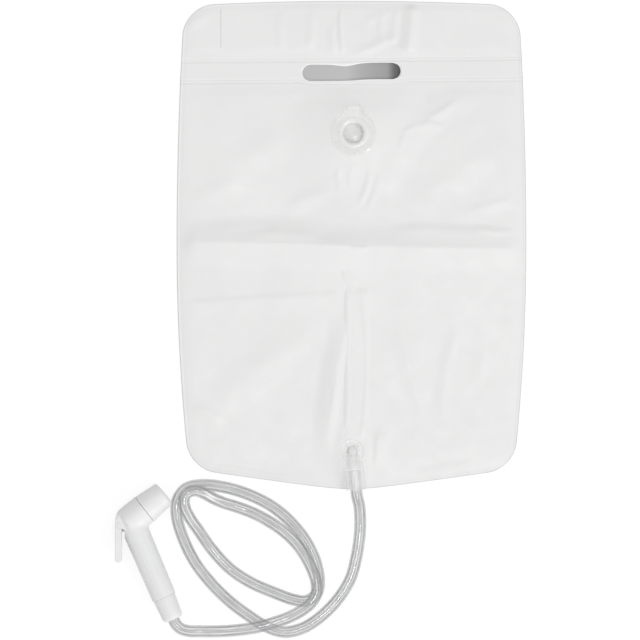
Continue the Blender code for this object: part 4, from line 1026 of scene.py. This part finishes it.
def film_piece(name, height, thickness, holes, columns, rows):
    """A film over the bag's outline: z = height(x, y), with its holes opened and its wall raised upwards.

    Its attributes are what film_finish reads: how far each point lies, in mm, from the bag's
    edge, past the nearest end of the stiffening sheet and past the slot's rim.
    """
    x, y = film_points(*np.meshgrid(columns, rows))
    y = y + seam_tilt(x, y)
    points = np.stack([x, y, np.zeros_like(x)], axis=-1).reshape(-1, 3)
    quads = grid_quads(len(rows), len(columns))
    for centre, length, tall in holes:
        quads = hole_snapped(points, quads, centre, length, tall)
    points, quads = used_points(points, quads)
    x, flat_y = points[:, 0], points[:, 1].copy()
    y = flat_y + slot_sag(x, flat_y)
    points[:, 1] = y
    points[:, 2] = height(x, y)
    piece = new_piece(name, points, quads, FILM_FINISH)

    from_edge = edge_distance(x, y)
    slot_reach = (SLOT_LENGTH - SLOT_HEIGHT) / 2
    past_slot = np.hypot(x - np.clip(x, -slot_reach, slot_reach), flat_y - SLOT_Y) - SLOT_HEIGHT / 2
    past_sheet = np.abs(x) - SHEET_REACH
    # the line at the sheet's right end is fainter, so it never comes nearer than 0.5 mm
    past_sheet = np.where(x > 0, np.hypot(past_sheet, 0.5 * MM), past_sheet)
    on_sheet = (y > SHEET_FOOT - 2 * MM) & (from_edge > 4.5 * MM)
    past_sheet = np.where(on_sheet, past_sheet, 1)
    for field, metres in (("edge_mm", from_edge), ("sheet_mm", past_sheet), ("slot_mm", past_slot)):
        values = piece.data.attributes.new(field, "FLOAT", "POINT")
        values.data.foreach_set("value", (metres / MM).astype(np.float32))
    add_wall(piece, thickness)
    return piece


def make_films():
    """The two films, and the header's stiffening sheet, which follows the front film 0.25 mm under it."""
    slot = ((0, SLOT_Y), SLOT_LENGTH, SLOT_HEIGHT)
    fill_hole = (VALVE, FILL_HOLE, FILL_HOLE)
    outlet_hole = (OUTLET, OUTLET_HOLE, OUTLET_HOLE)
    columns, rows = film_columns(), film_rows()
    front = film_piece("front_film", front_film_height, FILM, (slot, fill_hole, outlet_hole), columns, rows)
    back = film_piece("back_film", back_film_height, BACK_FILM, (slot,), columns[::2], rows)
    x, y = np.meshgrid(np.linspace(-SHEET_REACH, SHEET_REACH, 140), np.linspace(SHEET_FOOT, SHEET_HEAD, 30))
    under = np.stack([x, y, np.minimum(front_film_height(x, y) - 0.6 * MM, 1.2 * MM)], axis=-1)
    sheet = new_piece("stiffener_sheet", under, grid_quads(*x.shape), INNER_FILM_FINISH)
    add_wall(sheet, SHEET)
    fit_in(sheet, "bag", "header_stiffener")
    fit_in(front, "bag", "front_panel")
    fit_in(back, "bag", "rear_panel")


make_films()


# Fill valve

# Profiles of turned pieces are rows of radius, height and rounding, in mm
VALVE_BASE_PROFILE = [
    (13.0, 6.0, 0.2), (13.6, 5.4, 0.5), (13.0, 4.8, 0.4), (13.1, 1.6, 1.2), (15.0, 1.05, 0.8),
    (20.5, 0.95, 0.4), (21.2, 1.2, 0.6), (22.6, 1.2, 0.5), (24.0, 0.4, 0.3), (24.0, 0.0, 0.1),
    (11.0, 0.0, 0.1), (11.0, 6.0, 0.3),
]

# The plug from its cup's floor, over its raised rim and down to its foot. Height 0 is the rim's underside
PLUG_PROFILE = [
    (6.0, -4.4, 1.0), (8.2, -3.1, 1.0), (9.7, 0.0, 1.2), (11.8, 2.6, 0.5), (12.4, 3.6, 0.5),
    (15.0, 3.6, 0.7), (16.4, 2.6, 0.7), (16.5, 0.6, 0.3), (15.9, 0.0, 0.2), (10.7, 0.0, 0.2),
    (9.7, -5.4, 0.4), (9.2, -6.0, 0.3),
]

# Heights above the base's foot in mm: the plug's height 0, and its strap
PLUG_SEAT, PLUG_HINGE = 6.3, 7.5


def joined(piece, *others):
    """One closed body out of overlapping ones."""
    for other in others:
        union = piece.modifiers.new("join", "BOOLEAN")
        union.operation = "UNION"
        union.solver = "EXACT"
        union.object = other
    graph = bpy.context.evaluated_depsgraph_get()
    mesh = bpy.data.meshes.new_from_object(piece.evaluated_get(graph))
    piece.modifiers.clear()
    piece.data = mesh
    for other in others:
        bpy.data.objects.remove(other, do_unlink=True)
    sharpen(piece)
    return piece


def loft(name, sections, finish):
    """A closed body through sections, each a ring of points in the same order, with a fan over each end."""
    sections = np.asarray(sections, float)
    points = np.vstack([sections.reshape(-1, 3), sections[0].mean(axis=0), sections[-1].mean(axis=0)])
    piece = new_piece(name, points, capped_faces(*sections.shape[:2]), finish)
    sharpen(piece)
    return piece


def superellipse(half_x, half_y, power, sides=40):
    """x = a |cos v|^(2/p), y = b |sin v|^(2/p) with their signs."""
    angle = np.linspace(0, 2 * np.pi, sides, endpoint=False)
    cosine, sine = np.cos(angle), np.sin(angle)
    x = half_x * np.sign(cosine) * np.abs(cosine) ** (2 / power)
    y = half_y * np.sign(sine) * np.abs(sine) ** (2 / power)
    return np.stack([x, y], axis=1)


def strap(name, along, height, half_wide, half_thick, finish):
    """A flat bar with rounded edges that runs out from the valve along Y.

    Its values are in mm: places along it and heights above the base's foot, and its half width
    and half thickness there. Point = middle + x side + y up, with (x, y) on a superellipse and
    up square to the way that the bar runs.
    """
    line = MM * np.column_stack([along, np.broadcast_to(height, len(along))])
    wide = MM * np.broadcast_to(half_wide, len(line))
    thick = MM * np.broadcast_to(half_thick, len(line))
    tangent = np.gradient(line, axis=0)
    tangent /= np.linalg.norm(tangent, axis=1)[:, None]
    rings = []
    for (y, z), (out, climb), half_x, half_y in zip(line, tangent, wide, thick):
        side, up = superellipse(half_x, half_y, 5.0, 32).T
        rings.append(np.stack([side, y - climb * up, z + out * up], axis=1))
    return loft(name, moved(rings, Matrix.Translation((*VALVE, VALVE_BASE_Z))), finish)


def make_fill_valve():
    """The welded base with its neck and the strap's post, and the hollow plug on its strap."""
    at_foot = Matrix.Translation((*VALVE, VALVE_BASE_Z))
    base = turned_piece("valve_base", rounded(VALVE_BASE_PROFILE), VALVE_FINISH, at_foot, sides=96)
    tongue = strap("tongue", [19.0, 24.0, 29.0, 30.6, 31.0], 0.5, [12.0, 11.2, 9.6, 7.8, 5.0], 0.5,
                   VALVE_FINISH)
    post = strap("post", [25.5, 25.7, 27.0, 28.3, 28.5], 3.2, 7.0, [2.5, 3.0, 3.1, 3.0, 2.5], VALVE_FINISH)
    fit_in(joined(base, tongue, post), "bag", "fill_base")

    smooth = rounded(PLUG_PROFILE)
    floor, foot = (0, MM * PLUG_PROFILE[0][1]), (0, MM * PLUG_PROFILE[-1][1])
    at_seat = Matrix.Translation((*VALVE, VALVE_BASE_Z + MM * PLUG_SEAT))
    plug = turned_piece("valve_plug", np.vstack([floor, smooth, foot]), PLUG_FINISH, at_seat, sides=96,
                        closed=False)
    waist = [PLUG_HINGE, PLUG_HINGE, PLUG_HINGE - 0.1, PLUG_HINGE, PLUG_HINGE]
    bar = strap("bar", [14.0, 16.0, 20.0, 24.0, 26.8], waist, [6.6, 6.2, 5.6, 6.0, 7.0], 0.7, PLUG_FINISH)
    knuckle = strap("knuckle", [26.0, 26.2, 27.0, 27.8, 28.0], PLUG_HINGE, 7.0, [0.4, 0.75, 0.98, 0.75, 0.4],
                    PLUG_FINISH)
    fit_in(joined(plug, bar, knuckle), "plug", "fill_plug")


make_fill_valve()


# Outlet

OUTLET_RING_PROFILE = [
    (8.0, 2.2, 0.4), (9.6, 1.6, 0.8), (11.2, 1.5, 0.6), (12.6, 0.6, 0.5), (12.6, 0.0, 0.1),
    (5.2, 0.0, 0.1), (5.2, 2.0, 0.4),
]

# Rounded oblongs of the cuff, in mm: the way along it, half the width and half the height
CUFF_SECTIONS = [
    (11.8, 8.0, 7.2), (12.2, 8.7, 7.5), (13.2, 9.6, 7.7), (16.0, 10.2, 7.8), (20.0, 10.4, 7.8),
    (26.0, 10.5, 7.8), (33.0, 10.5, 7.8), (39.0, 10.5, 7.7), (40.6, 10.4, 7.6), (41.0, 10.1, 7.3),
]


def outlet_place():
    """A placing matrix with X across, Y up and Z along the way the hose leaves the outlet."""
    angle = OUTLET_TURN - math.pi / 2
    along = Vector((math.cos(angle), math.sin(angle), 0))
    up = Vector((0, 0, 1))
    across = up.cross(along)
    return Matrix.Translation((*OUTLET, STUB_AXIS_Z)) @ Matrix((across, up, along)).transposed().to_4x4()


def tube_between(name, outer, inner, finish):
    """A wall between two sets of rings: out along the outer ones and back along the inner ones."""
    rings = np.concatenate([outer, inner[::-1]])
    faces = grid_quads(len(rings), rings.shape[1], close_rows=True, close_columns=True)
    piece = new_piece(name, rings, faces[:, ::-1], finish)
    sharpen(piece)
    return piece


def outlet_elbow(place):
    """The tube that rises from the ring and turns along.

    point = centre + r (cos v across + sin v out), where the centres rise, follow a quarter
    circle and run along, and out leans with them.
    """
    bend, wall = 4.2 * MM, 2.1 * MM
    foot = OUTLET_BASE_Z - STUB_AXIS_Z
    turn = np.linspace(0, np.pi / 2, 12)
    rise = [(0.0, foot + 0.8 * MM), (0.0, foot + 2.0 * MM)]
    curve = bend * np.column_stack([1 - np.cos(turn), np.sin(turn) - 1])
    run = [(along * MM, 0.0) for along in (7, 11, 15, 18)]
    centres = np.vstack([rise, curve, run])
    lean = np.concatenate([[0, 0], turn, [np.pi / 2] * len(run)])[:, None]
    radius = MM * np.interp(np.arange(len(centres)), [0, 2, 8, 13, 17], [7.4, 7.0, 6.8, 6.9, 7.2])
    angle = np.linspace(0, 2 * np.pi, 40, endpoint=False)

    def rings(size):
        x = size[:, None] * np.cos(angle)
        out = size[:, None] * np.sin(angle)
        y = centres[:, 1:] - out * np.sin(lean)
        z = centres[:, :1] + out * np.cos(lean)
        return moved(np.stack([x, y, z], axis=-1), place)

    return tube_between("outlet_elbow", rings(radius), rings(radius - wall), OUTLET_FINISH)


def outlet_cuff(place):
    """The cuff starts close round the elbow and flattens towards its mouth, over a nearly round bore."""
    outer, bore = [], []
    for along, half_x, half_y in MM * np.array(CUFF_SECTIONS):
        over_elbow = 1.0 if along < 19 * MM else 0.93
        level = np.full(40, along)
        outer.append(np.column_stack([superellipse(half_x, half_y, 2.6), level]))
        bore.append(np.column_stack([over_elbow * superellipse(7.4 * MM, 7.2 * MM, 2.0), level]))
    return tube_between("outlet_cuff", moved(outer, place), moved(bore, place), SLEEVE_FINISH)


def make_outlet():
    """A welded ring, an elbow that rises from it and turns along, and a flat clear cuff round the hose."""
    at_foot = Matrix.Translation((*OUTLET, OUTLET_BASE_Z))
    place = outlet_place()
    ring = turned_piece("outlet_ring", rounded(OUTLET_RING_PROFILE), OUTLET_FINISH, at_foot, sides=80)
    for piece in (ring, outlet_elbow(place), outlet_cuff(place)):
        fit_in(piece, "bag", "outlet_stub")


make_outlet()


# Handset

SPRAY_CAP_PROFILE = [
    (12.3, 26.7, 0.8), (13.8, 25.2, 0.8), (16.1, 0.6, 0.3), (15.8, 0.3, 0.2), (13.5, 0.3, 0.2),
    (13.5, 9.6, 0.2), (11.6, 9.6, 0.2), (11.6, 25.0, 0.1), (9.8, 25.0, 0.1), (9.8, 26.2, 0.3),
    (10.4, 26.7, 0.3),
]
HOSE_NUT_PROFILE = [
    (7.0, 113.6, 0.4), (8.3, 113.6, 1.6), (10.9, 111.0, 1.6), (11.9, 88.6, 0.4), (11.6, 88.5, 0.2),
    (9.7, 88.5, 0.2), (9.7, 104.1, 0.2), (6.8, 104.1, 0.2), (6.8, 113.0, 0.4),
]
# The pin's cap has no roundings: radius and height from its crown to its foot
PIN_CAP_PROFILE = MM * np.array([(0, 0.42), (0.9, 0.38), (1.5, 0.24), (1.9, 0), (1.9, -0.2), (0, -0.2)])
JOIN_STEPS = 20


def merged_copy(name, node, finish):
    """A new piece with a CAD node's mesh, its doubles merged."""
    mesh = bpy.data.meshes.new(name)
    shape = bmesh.new()
    shape.from_mesh(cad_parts[node].data)
    bmesh.ops.remove_doubles(shape, verts=shape.verts, dist=0.01 * MM)
    shape.to_mesh(mesh)
    shape.free()
    mesh.materials.clear()
    mesh.materials.append(finish)
    piece = bpy.data.objects.new(name, mesh)
    bpy.context.scene.collection.objects.link(piece)
    return piece


def smooth_over(piece, name, passes):
    """Draw each point halfway towards its neighbours' middle, a number of times."""
    smooth = piece.modifiers.new(name, "SMOOTH")
    smooth.factor = 0.5
    smooth.iterations = passes
    return smooth


def moulded_copy(name, node, body, voxel, passes, joins=None):
    """A copy of a node, rebuilt on a fine grid and smoothed so that its edges get moulded rounds.

    joins(points) gives the weight of a second, longer smoothing, by which two forms run into each other.
    """
    piece = merged_copy(name, node, SHELL_FINISH)
    grid = piece.modifiers.new("grid", "REMESH")
    grid.mode = "VOXEL"
    grid.voxel_size = voxel
    grid.use_smooth_shade = True
    piece.data = bpy.data.meshes.new_from_object(piece.evaluated_get(bpy.context.evaluated_depsgraph_get()))
    piece.modifiers.clear()
    if joins:
        share = np.round(joins(mesh_points(piece.data)) * JOIN_STEPS).astype(int)
        group = piece.vertex_groups.new(name="joins")
        for step in range(1, JOIN_STEPS + 1):
            group.add(np.flatnonzero(share == step).tolist(), step / JOIN_STEPS, "REPLACE")
        smooth_over(piece, "joins", 140).vertex_group = "joins"
    smooth_over(piece, "rounds", passes)
    fit_in(piece, body, node)
    return piece


def handset_joins(points):
    """Full weight where the handle and the lug's top run into the elbow, none by recess, pin and snout."""
    away = points - ELBOW
    down_tail = away @ np.array((math.cos(TAIL_ANGLE), math.sin(TAIL_ANGLE), 0))
    up_nose = away @ np.array((math.cos(NOSE_ANGLE), math.sin(NOSE_ANGLE), 0))
    run_in = ease((down_tail + 2 * MM) / (8 * MM)) * ease((34 * MM - down_tail) / (12 * MM))
    run_in = run_in * ease((15.5 * MM - up_nose) / (3 * MM))
    by_lever = ease((up_nose + 10 * MM) / (5 * MM))
    lug_top = ease((away[:, 1] - 0.4 * MM) / (2.5 * MM)) * ease((-8 * MM - away[:, 0]) / (3 * MM))
    return np.maximum(run_in * by_lever, lug_top)


def handle_waves(piece):
    """Five faint flats along the handle: waves across its outer wall, d (1 - cos), that fade at both ends."""
    points = mesh_points(piece.data)
    away = points - ELBOW
    down = away[:, 0] * math.cos(TAIL_ANGLE) + away[:, 1] * math.sin(TAIL_ANGLE)
    across = away[:, 1] * math.cos(TAIL_ANGLE) - away[:, 0] * math.sin(TAIL_ANGLE)
    outside = ease((np.hypot(across, away[:, 2]) - 9 * MM) / (2 * MM))
    fade = ease((down - 22 * MM) / (14 * MM)) * ease((78 * MM - down) / (16 * MM))
    fade = fade * ease(1 - (np.abs(across) - 8 * MM) / (4 * MM))
    wave = 0.11 * MM * (1 - np.cos(2 * np.pi * across / (4.4 * MM)))
    points[:, 2] -= np.sign(away[:, 2]) * wave * fade * outside
    piece.data.vertices.foreach_set("co", points.ravel())


def pin_caps():
    """A low dome over each end of the lever's pin, moulded with the cheeks."""
    low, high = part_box("lever_pin")
    middle = ((low[0] + high[0]) / 2, (low[1] + high[1]) / 2)
    for name, level, turn in (("pin_cap_top", high[2], 0.0), ("pin_cap_under", low[2], math.pi)):
        place = Matrix.Translation((*middle, level)) @ Matrix.Rotation(turn, 4, "X")
        cap = turned_piece(name, PIN_CAP_PROFILE, SHELL_FINISH, place, sides=32, closed=False)
        fit_in(cap, "bag", None)


def make_handset():
    """The handset's body, lever, cap and nut, over the pieces inside it that keep their own shape."""
    handle_waves(moulded_copy("handset_shell", "handset_body", "bag", 0.55 * MM, 6, handset_joins))
    pin_caps()
    moulded_copy("lever_shell", "lever", "lever", 0.4 * MM, 6)
    at_seam = pointing(NOSE_ANGLE, 17.9 * MM, ELBOW)
    cap = turned_piece("spray_cap", rounded(SPRAY_CAP_PROFILE), SHELL_FINISH, at_seam, sides=96)
    fit_in(cap, "cap", "nose_cap")
    at_tail = pointing(TAIL_ANGLE, 0.0, ELBOW)
    nut = turned_piece("hose_nut", rounded(HOSE_NUT_PROFILE), SHELL_FINISH, at_tail, sides=80)
    fit_in(nut, "bag", "tail_nut")


def make_spring():
    """The return spring's own coil, copied from its node with smooth shading."""
    coil = merged_copy("spring_coil", "return_spring", STEEL_FINISH)
    coil.data.shade_smooth()
    fit_in(coil, "bag", "return_spring")
    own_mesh(coil)


make_handset()
make_spring()


# Nodes that keep their own shape

def dress(names, finish):
    """Give CAD nodes that keep their own shape a finish."""
    for name in names:
        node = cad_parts[name]
        node.data.materials.clear()
        node.data.materials.append(finish)


dress(["gland_nut", "valve_cage", "valve_seat"], BRASS_FINISH)
dress(["lever_pin", "valve_stem"], STEEL_FINISH)
dress(["plate_seal", "stem_seal", "valve_disc", "hose_seal"], RUBBER_FINISH)
dress(["spray_plate", "grip_ring"], SHELL_FINISH)
dress(["drain_channel"], INNER_FILM_FINISH)


# Floor, world and lamps

def flat_quad(name, low, high, level, finish):
    """A level rectangle between two corners."""
    (left, front), (right, back) = low, high
    corners = [(left, front, level), (right, front, level), (right, back, level), (left, back, level)]
    return new_piece(name, corners, [(0, 1, 2, 3)], finish, smooth=False)


def make_floor():
    """A white floor that the camera sees as nearly white, with the object's shadow in it."""
    finish, tree, _ = new_finish("floor")
    tree.nodes.clear()
    seen = ray_is(tree, "Is Camera Ray", "Is Glossy Ray", "Is Transmission Ray")
    plain = add_node(tree, "ShaderNodeBsdfDiffuse", Color=grey(0.66)).outputs[0]
    faint = add_node(tree, "ShaderNodeBsdfDiffuse", Color=grey(0.22)).outputs[0]
    glow = add_node(tree, "ShaderNodeEmission", Color=grey(1.0), Strength=0.82).outputs[0]
    lit = fed(tree, "ShaderNodeAddShader", faint, glow)
    chosen = fed(tree, "ShaderNodeMixShader", seen, plain, lit)
    add_node(tree, "ShaderNodeOutputMaterial", Surface=chosen)
    flat_quad("floor", (-8.0, -8.0), (8.0, 8.0), 0, finish)


def make_slot_shade_card():
    """A grey card under the bag, seen only through the hand slot: painted shade of the ground under the bag,
    with a painted shadow that darkens it towards the slot's right end.
    """
    finish, tree, shader = new_finish("slot_shade_grey")
    across = fed(tree, "ShaderNodeSeparateXYZ", coordinates(tree, "Object"))
    along = carried_over(tree, across, -52 * MM, 52 * MM, 0.0, 1.0)
    # painted shade, darkening to a painted shadow towards the slot's right end, where the film shades the
    # ground
    tone = grey_ramp(tree, along, (0.0, 0.50), (0.45, 0.52), (0.62, 0.42), (0.86, 0.34), (0.93, 0.14),
                     (1.0, 0.08))
    fill(tree, shader, Base_Color=tone, Roughness=0.8)
    flat_quad("slot_shade_card", (-0.060, 0.168), (0.060, 0.195), 0.01 * MM, finish)


def make_world():
    """A white surround at full strength for what is seen or mirrored, and weaker as light."""
    world = bpy.data.worlds.new("studio")
    bpy.context.scene.world = world
    world.use_nodes = True
    tree = world.node_tree
    seen = ray_is(tree, "Is Camera Ray", "Is Glossy Ray", "Is Transmission Ray")
    strength = carried_over(tree, seen, 0.0, 1.0, 0.74, 1.0)
    fill(tree, tree.nodes["Background"], Color=grey(1.0), Strength=strength)


def add_lamp(name, place, aim, size, power):
    """A round lamp of a size in metres and a power in watts, turned to its aim."""
    lamp = bpy.data.objects.new(name, bpy.data.lights.new(name, "AREA"))
    bpy.context.scene.collection.objects.link(lamp)
    lamp.data.shape = "DISK"
    lamp.data.size = size
    lamp.data.energy = power
    lamp.location = place
    lamp.rotation_mode = "QUATERNION"
    lamp.rotation_quaternion = (Vector(aim) - Vector(place)).to_track_quat("-Z", "Y")


make_floor()
make_slot_shade_card()
make_world()
add_lamp("key", (8.9, -9.9, 7.2), (0, -0.05, 0), 2.2, 640)
add_lamp("overhead", (0.4, -0.7, 4.6), (0, 0, 0), 1.0, 24)

bpy.context.scene.view_settings.view_transform = "Standard"
bpy.context.scene.cycles.transparent_max_bounces = 32
